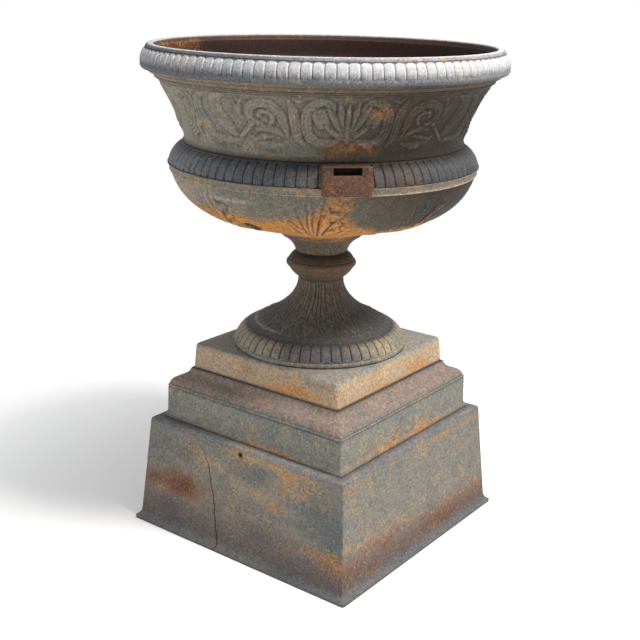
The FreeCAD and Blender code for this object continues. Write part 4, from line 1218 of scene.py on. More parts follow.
# %% Stem: profile
FOOT_LOBES = 52
stem_azimuth = lobe_azimuths(FOOT_LOBES)
foot_edge = chain(
    run((188.0, SLAB_LEVEL), (191.0, SLAB_LEVEL), 2),
    arc((192.0, 425.0), (191.6, 433.0), 0.5, 4),
    run((190.2, 434.4), (188.6, 435.0), 2),
)
foot_rise = arc((189.0, 435.8), (162.2, 465.6), 5.0, 15)
dome_step = chain(run((160.4, 466.6), (147.2, 473.6), 5), arc((145.8, 474.4), (142.2, 476.6), 1.0, 4))
leaf_zone = chain(arc((140.6, 477.2), (117.6, 488.0), 0.8, 12),
                  bezier((116.2, 488.8), (46.3, 528.0), (48.8, 572.0), np.linspace(0, 1, 52)))
knop = chain(
    arc((49.4, 573.6), (53.8, 578.4), -0.4, 4),
    arc((55.0, 579.6), (71.0, 598.2), 1.6, 8),
    arc((72.8, 599.6), (73.4, 613.2), 3.6, 10),
    run((71.2, 614.2), (70.8, 615.2), 2),
    arc((71.0, 616.0), (55.8, 631.2), 1.9, 8),
)
neck = arc((54.8, 632.8), (86.8, 669.0), -6.2, 22)
seat = run((87.2, STEM_LEVEL), (85.0, STEM_LEVEL), 2)
stem_profile = chain(foot_edge, foot_rise, dome_step, leaf_zone, knop, neck, seat)
stem_length = lengths(stem_profile)
stem_z = stem_profile[:, 1][:, None]
print("stem profile of", len(stem_profile), "rows")

# %% Stem: lobes and neck leaves
foot_start = stem_length[np.argmax(stem_profile[:, 1] >= 435.7)]
foot_end = stem_length[np.argmax(stem_profile[:, 1] >= 465.5)]
foot_along = (stem_length - foot_start) / (foot_end - foot_start)
foot_along = np.where((foot_along > 0.0) & (foot_along < 1.0), foot_along, -1.0)
stem_sink, stem_groove = lobes(FOOT_LOBES, stem_azimuth, foot_along, 3.2, 2.8, 9.0)
NECK_LEAVES = 26
neck_phase = np.abs((np.degrees(stem_azimuth) * NECK_LEAVES / 360.0) % 1.0 - 0.5) * 2.0
neck_half = np.interp(stem_z, [634.0, 640.0, 652.0, 662.0, 667.0], [0.80, 0.98, 0.90, 0.55, 0.05])
neck_leaf = np.sqrt(np.clip(1.0 - (neck_phase[None, :] / neck_half) ** 2, 0.0, 1.0))
neck_leaf = neck_leaf * (1.0 - 0.45 * bell(neck_phase, 0.0, 0.16)[None, :])
neck_leaf = neck_leaf * ((stem_z > 634.0) & (stem_z < 667.0))
print("foot lobes", FOOT_LOBES, "and neck leaves", NECK_LEAVES)

# %% Stem: the long leaves
UNIT = 45.0
UNIT_START = 2.0
unit_turn = (np.degrees(stem_azimuth) - UNIT_START + UNIT / 2) % UNIT - UNIT / 2
zone_low, zone_high = np.argmax(stem_profile[:, 1] >= 474.0), np.argmax(stem_profile[:, 1] >= 573.0)
zone = stem_profile[zone_low:zone_high]
zone_length = lengths(zone)
zone_u = np.radians(unit_turn)[None, :] * zone[:, :1]
zone_v = np.repeat(zone_length[:, None], len(stem_azimuth), 1)
long_leaves = np.zeros_like(zone_u)


def leaf(spine, widths, rise, ribs=1):
    """One leaf of the stem, along (degrees from the unit's middle, share of the way up)."""
    p = np.array(spine, float)
    v = p[:, 1] * zone_length[-1]
    path = np.stack([np.radians(p[:, 0]) * np.interp(v, zone_length, zone[:, 0]), v], 1)
    carve(long_leaves, zone_u, zone_v, path, widths, rise, ribs)


for middle, bend in ((-22.5, 1.0), (22.5, 1.0), (0.0, -1.0)):
    for side in (-1.0, 1.0):
        leaf([(middle + side * 8.5, 0.99), (middle + side * 9.5 + bend, 0.70), (middle + side * 10.5, 0.46),
              (middle + side * 9.0 - bend, 0.24), (middle + side * 6.0, 0.10)], (2, 4, 6, 8, 1), 1.8, 3)
    leaf([(middle, 0.99), (middle + 1.6 * bend, 0.75), (middle - 1.2 * bend, 0.50),
          (middle + 0.8 * bend, 0.25), (middle, 0.035)], (5, 7, 10, 17, 13, 1.5), 2.4, 7)
    leaf([(middle - 4.5, 0.98), (middle - 3.0, 0.72), (middle - 5.5, 0.50), (middle - 3.0, 0.33)],
         (2, 4, 5, 1), 2.6, 3)
    leaf([(middle + 4.5, 0.98), (middle + 5.5, 0.74), (middle + 3.5, 0.55), (middle + 5.0, 0.40)],
         (2, 4, 4, 1), 2.6, 3)
for side in (-1.0, 1.0):
    leaf([(side * 11.2, 0.40), (side * 11.6, 0.22), (side * 10.8, 0.07)], (1.6, 1.5, 1.3), 1.6)
long_leaves = softened(long_leaves, 1)
stem_relief = 1.5 * neck_leaf
stem_relief[zone_low:zone_high] += long_leaves
stem_sunk, stem_proud = hollows_and_crests(stem_relief, 0.9)
print("stem relief", round(float(stem_relief.max()), 1), "mm")

# %% Stem: the casting
stem_lining = chain(
    run((60.0, STEM_LEVEL), (41.0, STEM_LEVEL), 3),
    run((40.0, 669.0), (40.0, 561.0), 4),
    bezier((40.0, 560.0), (42.0, 520.0), (112.0, 478.0), np.linspace(0, 1, 8)),
    run((112.0, 478.0), (152.0, 456.0), 4),
    run((152.0, 456.0), (178.0, 433.0), 4),
    run((181.0, 431.0), (181.0, SLAB_LEVEL), 2),
)
stem_bands = [turned(stem_profile, stem_azimuth, stem_sink + stem_relief), turned(stem_lining, even(104))]
stem_body, stem_around, stem_up, _ = casting(stem_bands)
print("stem of", len(stem_body[0]), "points")

# %% Stem: colours and marks
FOOT_TAN = (0.225, 0.198, 0.150)
STEP_DARK = (0.066, 0.068, 0.070)
DOME_SHADE = (0.074, 0.075, 0.074)
TRUMPET = (0.122, 0.101, 0.080)
COLLAR = (0.105, 0.080, 0.052)
KNOP_LIT_BELOW = (0.125, 0.082, 0.054)
KNOP_TOP_SHADE = (0.060, 0.048, 0.036)
NECK_OLIVE = (0.118, 0.096, 0.064)
FOOT_EDGE = (0.10, 0.10, 0.10)
SEAT_RUSTY = (0.15, 0.10, 0.06)
# Painted light and shade: the dome is painted dark as shade under the bowl, and the knop as a lit lower part
# and a shaded upper cone.
stem_tint = banded(stem_up, (SLAB_LEVEL, FOOT_EDGE), (435, FOOT_TAN), (460, FOOT_TAN), (467, STEP_DARK),
                   (476, DOME_SHADE), (500, DOME_SHADE), (530, TRUMPET), (570, TRUMPET), (575, COLLAR),
                   (598, KNOP_LIT_BELOW), (613, KNOP_LIT_BELOW), (616, KNOP_TOP_SHADE), (630, KNOP_TOP_SHADE),
                   (638, NECK_OLIVE), (662, NECK_OLIVE), (669, SEAT_RUSTY))
# Painted shade: the front of the foot's lobes is painted dark and bluish.
FOOT_SHADE_BLUE = (0.064, 0.064, 0.069)
foot_painted_shade = 0.85 * ramp(stem_around, -8.0, 26.0) * ramp(stem_around, 88.0, 50.0)
foot_painted_shade = foot_painted_shade * ramp(stem_up, 470, 464) * ramp(stem_up, 432, 436)
stem_tint = towards(stem_tint, foot_painted_shade, FOOT_SHADE_BLUE)
stem_rust = -0.12 + 0.25 * bell(stem_up, 604, 6) + 0.35 * ramp(stem_up, 662, STEM_LEVEL)
# Painted highlight: a pale line on the bead, on the left side only.
bead_painted_highlight = 0.35 * bell(stem_up, 476.4, 1.3) * ramp(stem_around, 10.0, -5.0) * (stem_up > 473.0)
seams = (0.9 * bell(stem_z, SLAB_LEVEL, 2.0) + 0.8 * bell(stem_z, 614.7, 1.0) + 0.6 * bell(stem_z, 632.0, 2.2)
         + 0.5 * bell(stem_z, 573.2, 1.4) + 0.7 * bell(stem_z, 466.2, 1.6) + 0.15 * bell(stem_z, 434.8, 0.9))
valley_dirt = 0.55 * ramp(-stem_sink, 0.4, 2.0)
stem_dirt = np.clip(0.9 * stem_groove + valley_dirt + 0.75 * stem_sunk + seams, 0.0, 1.0)
stem_marks = {"rust": stem_rust, "ochre": 0.35, "groove": spread(stem_bands, [stem_dirt, 0.5]),
              "wear": np.clip(spread(stem_bands, [0.13 * stem_proud, 0.0]) + bead_painted_highlight, 0.0, 1.0)}
make_piece("stem_casting", stem_body, "stem", stem_finish, stem_tint, stem_marks)

# %% [markdown]
# ## Square castings
# The slab, the cap and the plates are profiles carried round a square instead of a circle, in the same
# loops with rounded corners as the sockets, so one formula makes every row. Bevelled boxes could stand in
# for them, but not with such mouldings. Iron castings are never quite flat: a few long waves, a fraction
# of a millimetre high, keep the big faces from looking machined.

# %% Square mouldings
def waves(points, height):
    """Long waves: the mean of five sines along fixed directions, 97 to 140 mm from crest to crest."""
    directions = np.array([(37.0, 11.0, 23.0), (-19.0, 41.0, 7.0), (13.0, -29.0, 37.0), (53.0, 23.0, -17.0),
                           (-31.0, -37.0, 43.0)])
    phases = np.array([0.4, 1.9, 3.1, 4.4, 5.6])
    return height * np.sin(points @ directions.T * MM + phases).mean(-1)


CALM_RADIUS = 40.0


def square_rows(profile, corners, loop, unevenness=0.5):
    """Square moulding: rows of (half width, height) with a corner radius each, in loops. The waves die
    away inside the calm radius, so that the hole in the middle stays true."""
    square, facing = loop
    w, c = profile[:, 0][:, None, None], np.asarray(corners, float)[:, None, None]
    flat = (w - c) * square + c * facing
    points = np.concatenate([flat, np.broadcast_to(profile[:, 1][:, None, None], flat.shape[:2] + (1,))], -1)
    strength = np.minimum(w, CALM_RADIUS) / CALM_RADIUS
    points[..., :2] += facing * waves(points, unevenness)[..., None] * strength
    return points


print("waves at the front left corner:", waves(np.array([-300.0, -300.0, 0.0]), 1.0).round(2), "mm")


# %% Bodies of loops, and blocks
def closed_loop(points):
    """A body of rows of loops, with the last row joined to the first."""
    rows, columns = points.shape[:2]
    joint = grid_quads(2, columns)
    joint = np.where(joint >= columns, joint - columns, joint + (rows - 1) * columns)
    quads = np.vstack([grid_quads(rows, columns), joint])
    return points.reshape(-1, 3), quads, np.zeros((0, 3), int), []


def block(corners):
    """A body with six faces from eight corners: four below, going round, and the four above them."""
    sides = [(3, 2, 1, 0), (4, 5, 6, 7), (0, 1, 5, 4), (1, 2, 6, 5), (2, 3, 7, 6), (3, 0, 4, 7)]
    return np.array(corners, float), np.array(sides), np.zeros((0, 3), int), []


def turned_about(points, turn):
    """Points turned about the vertical axis, so that the front goes to azimuth turn."""
    c, d = math.cos(turn), math.sin(turn)
    out = points.copy()
    out[..., :2] = points[..., :2] @ np.array([[c, d], [-d, c]])
    return out


print("a block has", len(block(np.zeros((8, 3)))[1]), "faces")

# %% Sides of the square
SIDES = (("front", 0.0), ("right", math.pi / 2), ("back", math.pi), ("left", 1.5 * math.pi))


def side_view(points):
    """For each point: which side it faces (0 front, 1 right, 2 back, 3 left) and millimetres along it."""
    x, y = points[:, 0], points[:, 1]
    across_x = np.abs(x) > np.abs(y)
    side = np.where(across_x, np.where(x > 0, 1, 3), np.where(y < 0, 0, 2))
    along = np.select([side == 0, side == 1, side == 2], [x, y, -x], -y)
    return side, along


print("sides:", [name for name, _ in SIDES])

# %% [markdown]
# ## Slab and cap
# The slab is a shallow tray turned upside down, gritty and tan with rust. The cap is a square ring: an
# upright face with a flared foot, a bead between two fine lines and an ogee up to the slab. A low ridge
# on top keeps the slab in place, and a lug inside each side takes a bolt. Each is one closed loop
# of profile; a bevelled box would need every moulding cut into it afterwards.

# %% Slab: the casting
slab_loop = square_loop(40, 6)
slab_profile = chain(
    run((187.0, CAP_LEVEL), (199.5, CAP_LEVEL), 3),
    run((200.3, 367.8), (196.9, 416.6), 10),
    arc((196.7, 417.6), (190.6, SLAB_LEVEL), 1.8, 7),
    run((186.0, SLAB_LEVEL), (60.0, SLAB_LEVEL), 8),
    run((10.0, SLAB_LEVEL), (9.0, 423.0), 2),
    run((9.0, 411.0), (10.0, 410.0), 2),
    run((60.0, 410.0), (181.5, 410.0), 3),
    run((182.5, 409.0), (186.4, 368.0), 5),
)
slab_corners = np.interp(slab_profile[:, 0], [9.0, 60.0, 150.0, 190.0], [2.0, 6.0, 6.0, 7.0])
slab_body = closed_loop(square_rows(slab_profile, slab_corners, slab_loop))
slab_up = slab_body[0][:, 2]
slab_side, slab_along = side_view(slab_body[0])
print("slab of", len(slab_profile), "rows")

# %% Slab: colours and marks
SLAB_TAN = (0.365, 0.277, 0.192)
SLAB_TOP = (0.192, 0.185, 0.168)
SLAB_BLOTS = [(150, 408, 55, 12, 0.7, (0.20, 0.19, 0.17)), (-60, 400, 60, 14, 0.5, (0.27, 0.20, 0.155))]
SLAB_RUST = [(105, 384, 55, 9, 0.45), (20, 374, 120, 6, 0.20)]
slab_tint = banded(slab_up, (CAP_LEVEL, SLAB_TAN), (415, SLAB_TAN), (423, SLAB_TOP))
# Only the front has the blots: the points of the other sides are moved out of their reach.
front_along = slab_along + 1000.0 * (slab_side != 0)
slab_tint = blotted(slab_tint, front_along, slab_up, SLAB_BLOTS)
slab_face = slab_up < 419.0
slab_rust = np.where(slab_face, 0.20, -0.15)
slab_rust += spots(slab_along, slab_up, SLAB_RUST) * slab_face
slab_dirt = np.clip(bell(slab_up, CAP_LEVEL, 1.6), 0.0, 0.9)
slab_marks = {"rust": slab_rust, "ochre": 0.75, "groove": slab_dirt}
make_piece("base_slab_casting", slab_body, "base_slab", slab_finish, slab_tint, slab_marks,
           crease=60.0)

# %% Plinth cap: the casting
cap_loop = square_loop(52, 4)
cap_profile = chain(
    run((238.0, BOX_LEVEL), (247.0, BOX_LEVEL), 2),
    arc((248.2, 252.8), (242.2, 275.0), -2.0, 8),
    run((242.0, 276.5), (241.1, 322.4), 9),
    run((240.2, 323.2), (240.3, 323.9), 2),
    arc((240.3, 324.4), (240.2, 329.0), 1.0, 6),
    run((239.4, 329.8), (239.0, 330.6), 2),
    arc((238.8, 331.4), (222.0, 348.0), 3.5, 10),
    arc((221.0, 349.0), (204.0, 366.0), -3.3, 10),
    run((202.8, CAP_LEVEL), (185.0, CAP_LEVEL), 3),
    run((184.5, 368.0), (184.0, 377.0), 2),
    run((175.0, 377.0), (174.5, 368.0), 2),
    run((173.0, CAP_LEVEL), (151.0, CAP_LEVEL), 3),
    run((150.0, 366.0), (150.0, 356.0), 3),
    run((151.0, 355.0), (190.0, 355.0), 3),
    run((191.5, 354.6), (228.6, 324.5), 4),
    run((229.0, 323.5), (236.4, 253.0), 5),
)
cap_corners = np.where(cap_profile[:, 0] > 200.0, 2.6, 2.0)
LUG_HALF = 22.0
LUG_INNER = 204.5
LUG_RISE = 12.0
lug = []
for level, outer in ((BOX_LEVEL, 241.0), (BOX_LEVEL + LUG_RISE, 234.0)):
    lug += [(-LUG_HALF, -outer, level), (LUG_HALF, -outer, level), (LUG_HALF, -LUG_INNER, level),
            (-LUG_HALF, -LUG_INNER, level)]
lugs = [block(turned_about(np.array(lug), turn)) for _, turn in SIDES]
cap_body = joined([closed_loop(square_rows(cap_profile, cap_corners, cap_loop))] + lugs)
cap_up = cap_body[0][:, 2]
cap_side, cap_along = side_view(cap_body[0])
print("cap of", len(cap_profile), "rows, with", len(lugs), "lugs")

# %% Plinth cap: colours and marks
CAP_FOOT = (0.16, 0.13, 0.10)
CAP_GREY = (0.190, 0.182, 0.160)
BEAD_GREY = (0.155, 0.150, 0.130)
OGEE_MAUVE = (0.184, 0.141, 0.120)
CAP_RUST = [(78, 259, 62, 7, 0.50), (-60, 256, 90, 5, 0.25), (-20, 300, 60, 14, 0.18)]
RIGHT_RUST = [(-120, 268, 120, 14, 0.42), (60, 272, 120, 16, 0.30)]
cap_tint = banded(cap_up, (BOX_LEVEL, CAP_FOOT), (262, CAP_GREY), (321, CAP_GREY), (325, BEAD_GREY),
                  (330, BEAD_GREY), (338, OGEE_MAUVE), (CAP_LEVEL, OGEE_MAUVE))
cap_rust = -0.04 + spots(cap_along, cap_up, CAP_RUST)
cap_rust += (cap_side == 1) * spots(cap_along, cap_up, RIGHT_RUST)
cap_dirt = bell(cap_up, BOX_LEVEL, 2.6) + 0.7 * bell(cap_up, 323.4, 0.8) + 0.75 * bell(cap_up, 330.2, 0.8)
cap_dirt = np.clip(cap_dirt + 0.9 * bell(cap_up, CAP_LEVEL, 1.5), 0.0, 0.95)
cap_marks = {"rust": cap_rust, "ochre": 0.6, "groove": cap_dirt}
make_piece("plinth_cap_casting", cap_body, "plinth_cap", plinth_finish, cap_tint, cap_marks,
           crease=40.0)

# %% [markdown]
# ## Plinth plates
# Four plates meet in mitres at the corners. Each is one side of the square loops, ending in the mitre
# planes, with half of the rounded corner at each end, and a bolting flange stands behind each mitre. The
# front plate has cracked from its upper left down to the lip: the columns of its grid bend to follow the
# crack, and the middle one sinks into it. A boolean could cut the crack too, but it would leave slivers
# all along it; the one fixing hole is small and round, so a boolean suits it.

# %% Plates: profile
plate_profile = chain(
    run((288.0, 0.0), (298.4, 0.0), 3),
    run((299.8, 1.0), (300.0, 6.0), 3),
    arc((299.5, 7.0), (287.8, 25.0), -3.0, 9),
    run((287.4, 26.5), (269.4, 243.0), 30),
    arc((269.2, 244.6), (261.0, BOX_LEVEL), 2.3, 7),
    run((259.0, BOX_LEVEL), (205.5, BOX_LEVEL), 4),
    run((204.5, 251.0), (204.5, 243.0), 3),
    run((205.5, 242.0), (256.5, 242.0), 3),
    run((257.4, 240.0), (275.0, 27.0), 8),
    run((275.8, 25.0), (287.4, 1.0), 4),
)
plate_reach = plate_profile[:, 0]
plate_corners = np.where(plate_reach > 258.0, 2.2, 0.6) + 4.0 * ramp(plate_reach, 292.0, 299.0)
print("plate profile of", len(plate_profile), "rows")

# %% Plates: the crack
CRACK_AT = -0.25
CRACK_DEPTH = 5.0
CRACK_HEIGHTS = np.array([0.0, 3.0, 18.0, 34.0, 67.0, 112.0, 144.0, 188.0, 200.0, 212.0, BOX_LEVEL])
CRACK_ACROSS = np.array([-55.0, -53.0, -52.0, -57.0, -63.0, -69.0, -79.0, -89.0, -98.0, -102.0, -110.0])
CRACK_COLUMNS = CRACK_AT + np.array([-0.020, -0.010, -0.0042, 0.0, 0.0042, 0.010, 0.020])
SHOWN_ROWS = 60


def crack(points, square):
    """Pulls the columns near the crack sideways to its line, sinks the middle one, and gives how deep in
    the crack each point lies, from 0 to 1."""
    z = plate_profile[:, 1]
    outer = np.arange(len(z)) < SHOWN_ROWS
    line = np.interp(z, CRACK_HEIGHTS, CRACK_ACROSS) + 0.7 * np.sin(z * 0.21) + 0.5 * np.sin(z * 0.47 + 1.0)
    shift = np.where(outer, line - CRACK_AT * plate_profile[:, 0], 0.0)[:, None]
    away = np.abs(square[:, 0] - CRACK_AT)[None, :]
    points[..., 0] += shift * np.clip(1.0 - away / 0.6, 0.0, 1.0)
    opening = np.where(outer, ramp(z, 206.0, 186.0), 0.0)[:, None]
    points[..., 1] += CRACK_DEPTH * opening * np.clip(1.0 - away / 0.0040, 0.0, 1.0)
    return ramp(opening, 0.0, 0.3) * np.clip(1.3 - away / 0.0052, 0.0, 1.0)


print("crack from", CRACK_ACROSS[-1], "mm across at the top to", CRACK_ACROSS[0], "mm at the lip")


# %% Plates: one plate and its flanges
def plate(turn, cracked):
    """One plate: columns s from -1 to 1 along the side, and three more round each half corner."""
    s = np.linspace(-1.0, 1.0, 61)
    if cracked:
        s = np.sort(np.concatenate([s[np.abs(s - CRACK_AT) > 0.025], CRACK_COLUMNS]))
    theta = np.radians(np.array([-135.0, -120.0, -105.0]))
    left = np.stack([np.cos(theta), np.sin(theta)], 1)
    square = np.vstack([np.tile([-1.0, -1.0], (3, 1)), np.stack([s, -np.ones_like(s)], 1),
                        np.tile([1.0, -1.0], (3, 1))])
    facing = np.vstack([left, np.tile([0.0, -1.0], (len(s), 1)), left[::-1] * [-1.0, 1.0]])
    points = square_rows(plate_profile, plate_corners, (square, facing), 0.0)
    depth = crack(points, square) if cracked else np.zeros(points.shape[:2])
    points = turned_about(points, turn)
    out = np.array([math.sin(turn), -math.cos(turn)])
    flat_part = (plate_profile[:, 0] < 299.0)[:, None, None]
    points[..., :2] += out * (waves(points, 0.6) - 0.3)[..., None] * flat_part
    rows, columns = points.shape[:2]
    last, ahead = (rows - 1) * columns, np.arange(columns - 1)
    underside = np.stack([last + ahead, last + ahead + 1, ahead + 1, ahead], -1)
    first = np.arange(rows) * columns
    body = (points.reshape(-1, 3), np.vstack([grid_quads(rows, columns, wrap=False), underside]),
            np.zeros((0, 3), int), [first, first[::-1] + columns - 1])
    return body, depth.ravel()


def mitre_flange(turn, hand):
    """Flange behind a mitre: 9 mm thick from the mitre plane, 42 mm deep along it, up to the ledge."""
    inward = np.array([-hand, 1.0]) / math.sqrt(2.0)
    aside = np.array([-hand, -1.0]) / math.sqrt(2.0)
    corners = []
    for z, half in ((22.0, 271.0), (241.0, 253.0)):
        root = np.array([hand * half, -half]) + 0.3 * aside
        for step_in, step_aside in ((0.0, 0.0), (0.0, 9.0), (42.0, 9.0), (42.0, 0.0))[::int(-hand)]:
            corners.append((*(root + step_in * inward + step_aside * aside), z))
    return block(turned_about(np.array(corners), turn))


print("a flange has", len(mitre_flange(0.0, 1.0)[0]), "corners")

# %% Plates: patches of rust and paint
PLATE_GREY = (0.175, 0.160, 0.138)
PLATE_EDGE = (0.135, 0.132, 0.136)
PLATE_FOOT = (0.102, 0.081, 0.074)
LIP_GREY = (0.100, 0.097, 0.101)
RED_BROWN = (0.235, 0.128, 0.094)
TEAL = (0.104, 0.114, 0.114)
TAN = (0.320, 0.245, 0.160)
PURPLE = (0.100, 0.080, 0.080)
SOOT = (0.09, 0.092, 0.085)
EARTH = (0.17, 0.125, 0.09)
FRONT_BLOTS = [
    (-200, 112, 100, 34, 0.75, RED_BROWN), (-244, 200, 50, 40, 0.5, TEAL), (50, 208, 45, 20, 0.75, TEAL),
    (200, 168, 55, 22, 0.8, TEAL), (255, 138, 60, 44, 0.85, TEAL), (20, 190, 30, 14, 0.6, TEAL),
    (90, 128, 60, 14, 0.5, TEAL), (-74, 196, 45, 14, 0.6, TAN), (45, 235, 60, 8, 0.85, TAN),
    (130, 240, 70, 7, 0.7, TAN), (40, 165, 60, 14, 0.7, TAN), (100, 148, 40, 10, 0.6, TAN),
    (130, 205, 45, 22, 0.65, TAN), (60, 70, 70, 34, 0.85, PURPLE), (190, 35, 80, 26, 0.85, PURPLE),
    (-210, 55, 70, 28, 0.8, PURPLE), (-100, 50, 60, 20, 0.5, PURPLE), (-150, 195, 40, 18, 0.5, SOOT),
    (-40, 90, 40, 40, 0.4, EARTH),
]
FRONT_RUST = [
    (-262, 108, 50, 28, 0.34), (-205, 112, 75, 32, 0.30), (-165, 138, 45, 36, 0.26),
    (-150, 106, 50, 32, 0.32), (-28, 238, 26, 7, 0.62), (70, 238, 70, 7, 0.42), (165, 230, 50, 10, 0.40),
    (40, 168, 40, 9, 0.40), (100, 150, 34, 10, 0.52), (150, 202, 70, 26, 0.34), (205, 86, 80, 18, 0.38),
    (255, 62, 50, 34, 0.46), (-60, 120, 60, 34, 0.22), (-120, 212, 40, 12, 0.42),
    (-30, 190, 30, 12, 0.30), (60, 60, 120, 26, 0.24), (170, 130, 60, 8, 0.30),
]
FRONT_OCHRE = [
    (-28, 238, 30, 10, 0.6), (70, 238, 90, 14, 0.45), (165, 230, 70, 16, 0.45), (60, 160, 90, 22, 0.42),
    (205, 86, 100, 26, 0.30), (255, 62, 60, 40, 0.20), (-120, 212, 40, 14, 0.4),
    (150, 202, 80, 30, 0.45), (-30, 190, 40, 20, 0.4),
]


def plate_patches(name, along, level):
    """Paint colour, rust and ochre of a plate. The front one has the real plate's patches. The other
    three have a band of rust at the foot and speckle under the top edge, as the real right one does."""
    tint = banded(level, (0, LIP_GREY), (14, LIP_GREY), (34, PLATE_FOOT), (100, PLATE_GREY),
                  (240, PLATE_GREY), (247, PLATE_EDGE))
    if name == "front":
        tint = blotted(tint, along, level, FRONT_BLOTS)
        rust = -0.02 + spots(along, level, FRONT_RUST)
        return tint, rust, 0.22 + spots(along, level, FRONT_OCHRE)
    top = np.interp(along, [-270.0, -98.0, 130.0, 270.0], [120.0, 104.0, 86.0, 82.0])
    rust = 0.45 * ramp(level - top, 42.0, -42.0) * ramp(level, 8.0, 30.0) + 0.36 * bell(level, 232, 11)
    rust += 0.12 * bell(level, 160.0, 30.0) * bell(along, -80.0, 60.0) - 0.04
    return tint, rust, 0.24 + 0.55 * bell(level - top, 6.0, 26.0) + 0.4 * bell(level, 232, 14)


print("patches on the front:", len(FRONT_BLOTS), "of paint and", len(FRONT_RUST), "of rust")

# %% Plates: the four pieces
plates = {}
for name, turn in SIDES:
    body, depth = plate(turn, name == "front")
    flanges = [mitre_flange(turn, hand) for hand in (-1.0, 1.0)]
    whole = joined([body] + flanges)
    faced = turned_about(whole[0], -turn)
    along, reach, level = faced[:, 0], -faced[:, 1], faced[:, 2]
    tint, rust, ochre = plate_patches(name, along, level)
    plate_dirt_and_shade = np.concatenate([depth, np.zeros(len(level) - len(depth))])
    # Painted shade: a soft dark line on the ledge where the cap stands on it.
    plate_dirt_and_shade = np.maximum(plate_dirt_and_shade, 0.9 * ((level > 250.0) & (reach < 250.0)))
    plate_dirt_and_shade = np.clip(np.maximum(plate_dirt_and_shade, 0.45 * bell(level, 0.0, 2.5)), 0.0, 1.0)
    marks = {"rust": rust, "ochre": ochre, "groove": plate_dirt_and_shade}
    plates[name] = make_piece("plinth_plate_" + name, whole, "plinth_side_" + name,
                              plinth_finish, tint, marks, crease=40.0)
HOLE_HEIGHT = 236.0
HOLE_RADIUS = 4.0
drill(plates["front"], (0.0, -280.0, HOLE_HEIGHT), (0.0, -245.0, HOLE_HEIGHT), HOLE_RADIUS)

# %% [markdown]
# ## Floor, light and camera
# The floor is a plain pale sheet that turns white towards the distance, the light a soft key from high on
# the right with an even fill, as in a studio. The camera stands where the photographer did: the plinth's
# edges and the bowl's rings give its place, its lens and a slight tilt of the horizon.

# %% Floor
floor_mesh = bpy.data.meshes.new("floor")
floor_mesh.from_pydata([(-60, -60, 0), (60, -60, 0), (60, 60, 0), (-60, 60, 0)], [], [(0, 1, 2, 3)])
floor = bpy.data.objects.new("floor", floor_mesh)
bpy.context.scene.collection.objects.link(floor)
floor_finish = bpy.data.materials.new("pale_floor")
floor_finish.use_nodes = True
floor_tree = floor_finish.node_tree
floor_tree.nodes.clear()
rays = floor_tree.nodes.new("ShaderNodeLightPath").outputs
seen = sums(floor_tree, "MAXIMUM", rays["Is Camera Ray"], rays["Is Glossy Ray"])
seen = sums(floor_tree, "MAXIMUM", seen, rays["Is Transmission Ray"])
pale = mixed(floor_tree, seen, rgb(0.74, 0.74, 0.73), rgb(0.92, 0.92, 0.92))
floor_shader = add_node(floor_tree, "ShaderNodeBsdfDiffuse", Color=pale)
white = add_node(floor_tree, "ShaderNodeEmission", Color=rgb(1.0, 1.0, 1.0), Strength=1.0)
spot = floor_tree.nodes.new("ShaderNodeTexCoord").outputs["Object"]
away = add_node(floor_tree, "ShaderNodeVectorMath", {"operation": "LENGTH"})
floor_tree.links.new(spot, away.inputs[0])
fade = sums(floor_tree, "MULTIPLY", stepped(floor_tree, away.outputs["Value"], 0.50, 1.50), seen)
floor_mix = floor_tree.nodes.new("ShaderNodeMixShader")
floor_tree.links.new(fade, floor_mix.inputs[0])
floor_tree.links.new(floor_shader.outputs[0], floor_mix.inputs[1])
floor_tree.links.new(white.outputs[0], floor_mix.inputs[2])
floor_out = floor_tree.nodes.new("ShaderNodeOutputMaterial")
floor_tree.links.new(floor_mix.outputs[0], floor_out.inputs["Surface"])
floor_mesh.materials.append(floor_finish)
print("floor of", round(floor.dimensions.x), "m")

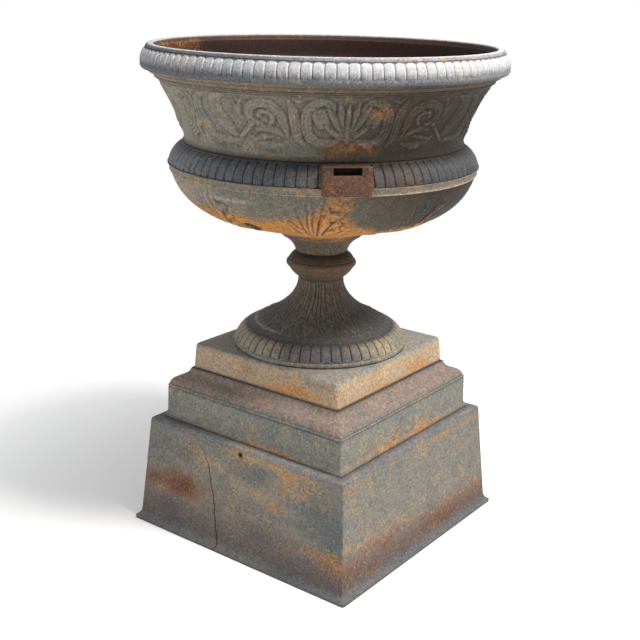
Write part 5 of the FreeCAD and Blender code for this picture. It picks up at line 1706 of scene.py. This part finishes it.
# %% Light
world = bpy.data.worlds.new("studio")
bpy.context.scene.world = world
world.use_nodes = True
sky = world.node_tree
sky.nodes.clear()
backdrop = add_node(sky, "ShaderNodeBackground", Color=rgb(1.0, 1.0, 1.0), Strength=1.0)
ambient = add_node(sky, "ShaderNodeBackground", Color=rgb(0.97, 0.985, 1.0), Strength=0.62)
choose = sky.nodes.new("ShaderNodeMixShader")
sky.links.new(sky.nodes.new("ShaderNodeLightPath").outputs["Is Camera Ray"], choose.inputs[0])
sky.links.new(ambient.outputs[0], choose.inputs[1])
sky.links.new(backdrop.outputs[0], choose.inputs[2])
sky.links.new(choose.outputs[0], sky.nodes.new("ShaderNodeOutputWorld").inputs["Surface"])


def soft_box(name, place, target, size, power, colour):
    """Square area light at place, turned to face target."""
    lamp = bpy.data.lights.new(name, "AREA")
    lamp.shape = "SQUARE"
    lamp.size = size
    lamp.energy = power
    lamp.color = colour
    box = bpy.data.objects.new(name, lamp)
    bpy.context.scene.collection.objects.link(box)
    box.location = place
    box.rotation_euler = (Vector(target) - Vector(place)).to_track_quat("-Z", "Y").to_euler()
    print(name, "light of", power, "W")


soft_box("key", (2.5, 0.2, 4.9), (0, 0, 0.6), 1.2, 385.0, (1.0, 0.97, 0.93))
soft_box("fill", (-2.6, -2.6, 2.4), (0, 0, 0.55), 2.6, 28.0, (0.96, 0.98, 1.0))

# %% Camera
CAMERA_AZIMUTH = math.radians(37.10)
CAMERA_DISTANCE = 2.2908
CAMERA_HEIGHT = 1.2116
CAMERA_PITCH = math.radians(17.93)
CAMERA_ROLL = math.radians(1.17)
camera_data = bpy.data.cameras.new("camera")
camera_data.sensor_width = 36.0
camera_data.lens = 60.51
camera = bpy.data.objects.new("camera", camera_data)
bpy.context.scene.collection.objects.link(camera)
ahead = Vector((-math.sin(CAMERA_AZIMUTH), math.cos(CAMERA_AZIMUTH), 0.0))
forward = ahead * math.cos(CAMERA_PITCH) - Vector((0, 0, 1)) * math.sin(CAMERA_PITCH)
right = ahead.cross(Vector((0, 0, 1)))
up = right.cross(forward)
rolled_right = right * math.cos(CAMERA_ROLL) + up * math.sin(CAMERA_ROLL)
rolled_up = up * math.cos(CAMERA_ROLL) - right * math.sin(CAMERA_ROLL)
place = Matrix((rolled_right, rolled_up, -forward)).transposed().to_4x4()
place.translation = -ahead * CAMERA_DISTANCE + Vector((0, 0, CAMERA_HEIGHT))
camera.matrix_world = place
bpy.context.scene.camera = camera
bpy.context.scene.view_settings.view_transform = "Standard"
print("camera at", [round(c, 3) for c in camera.matrix_world.translation])
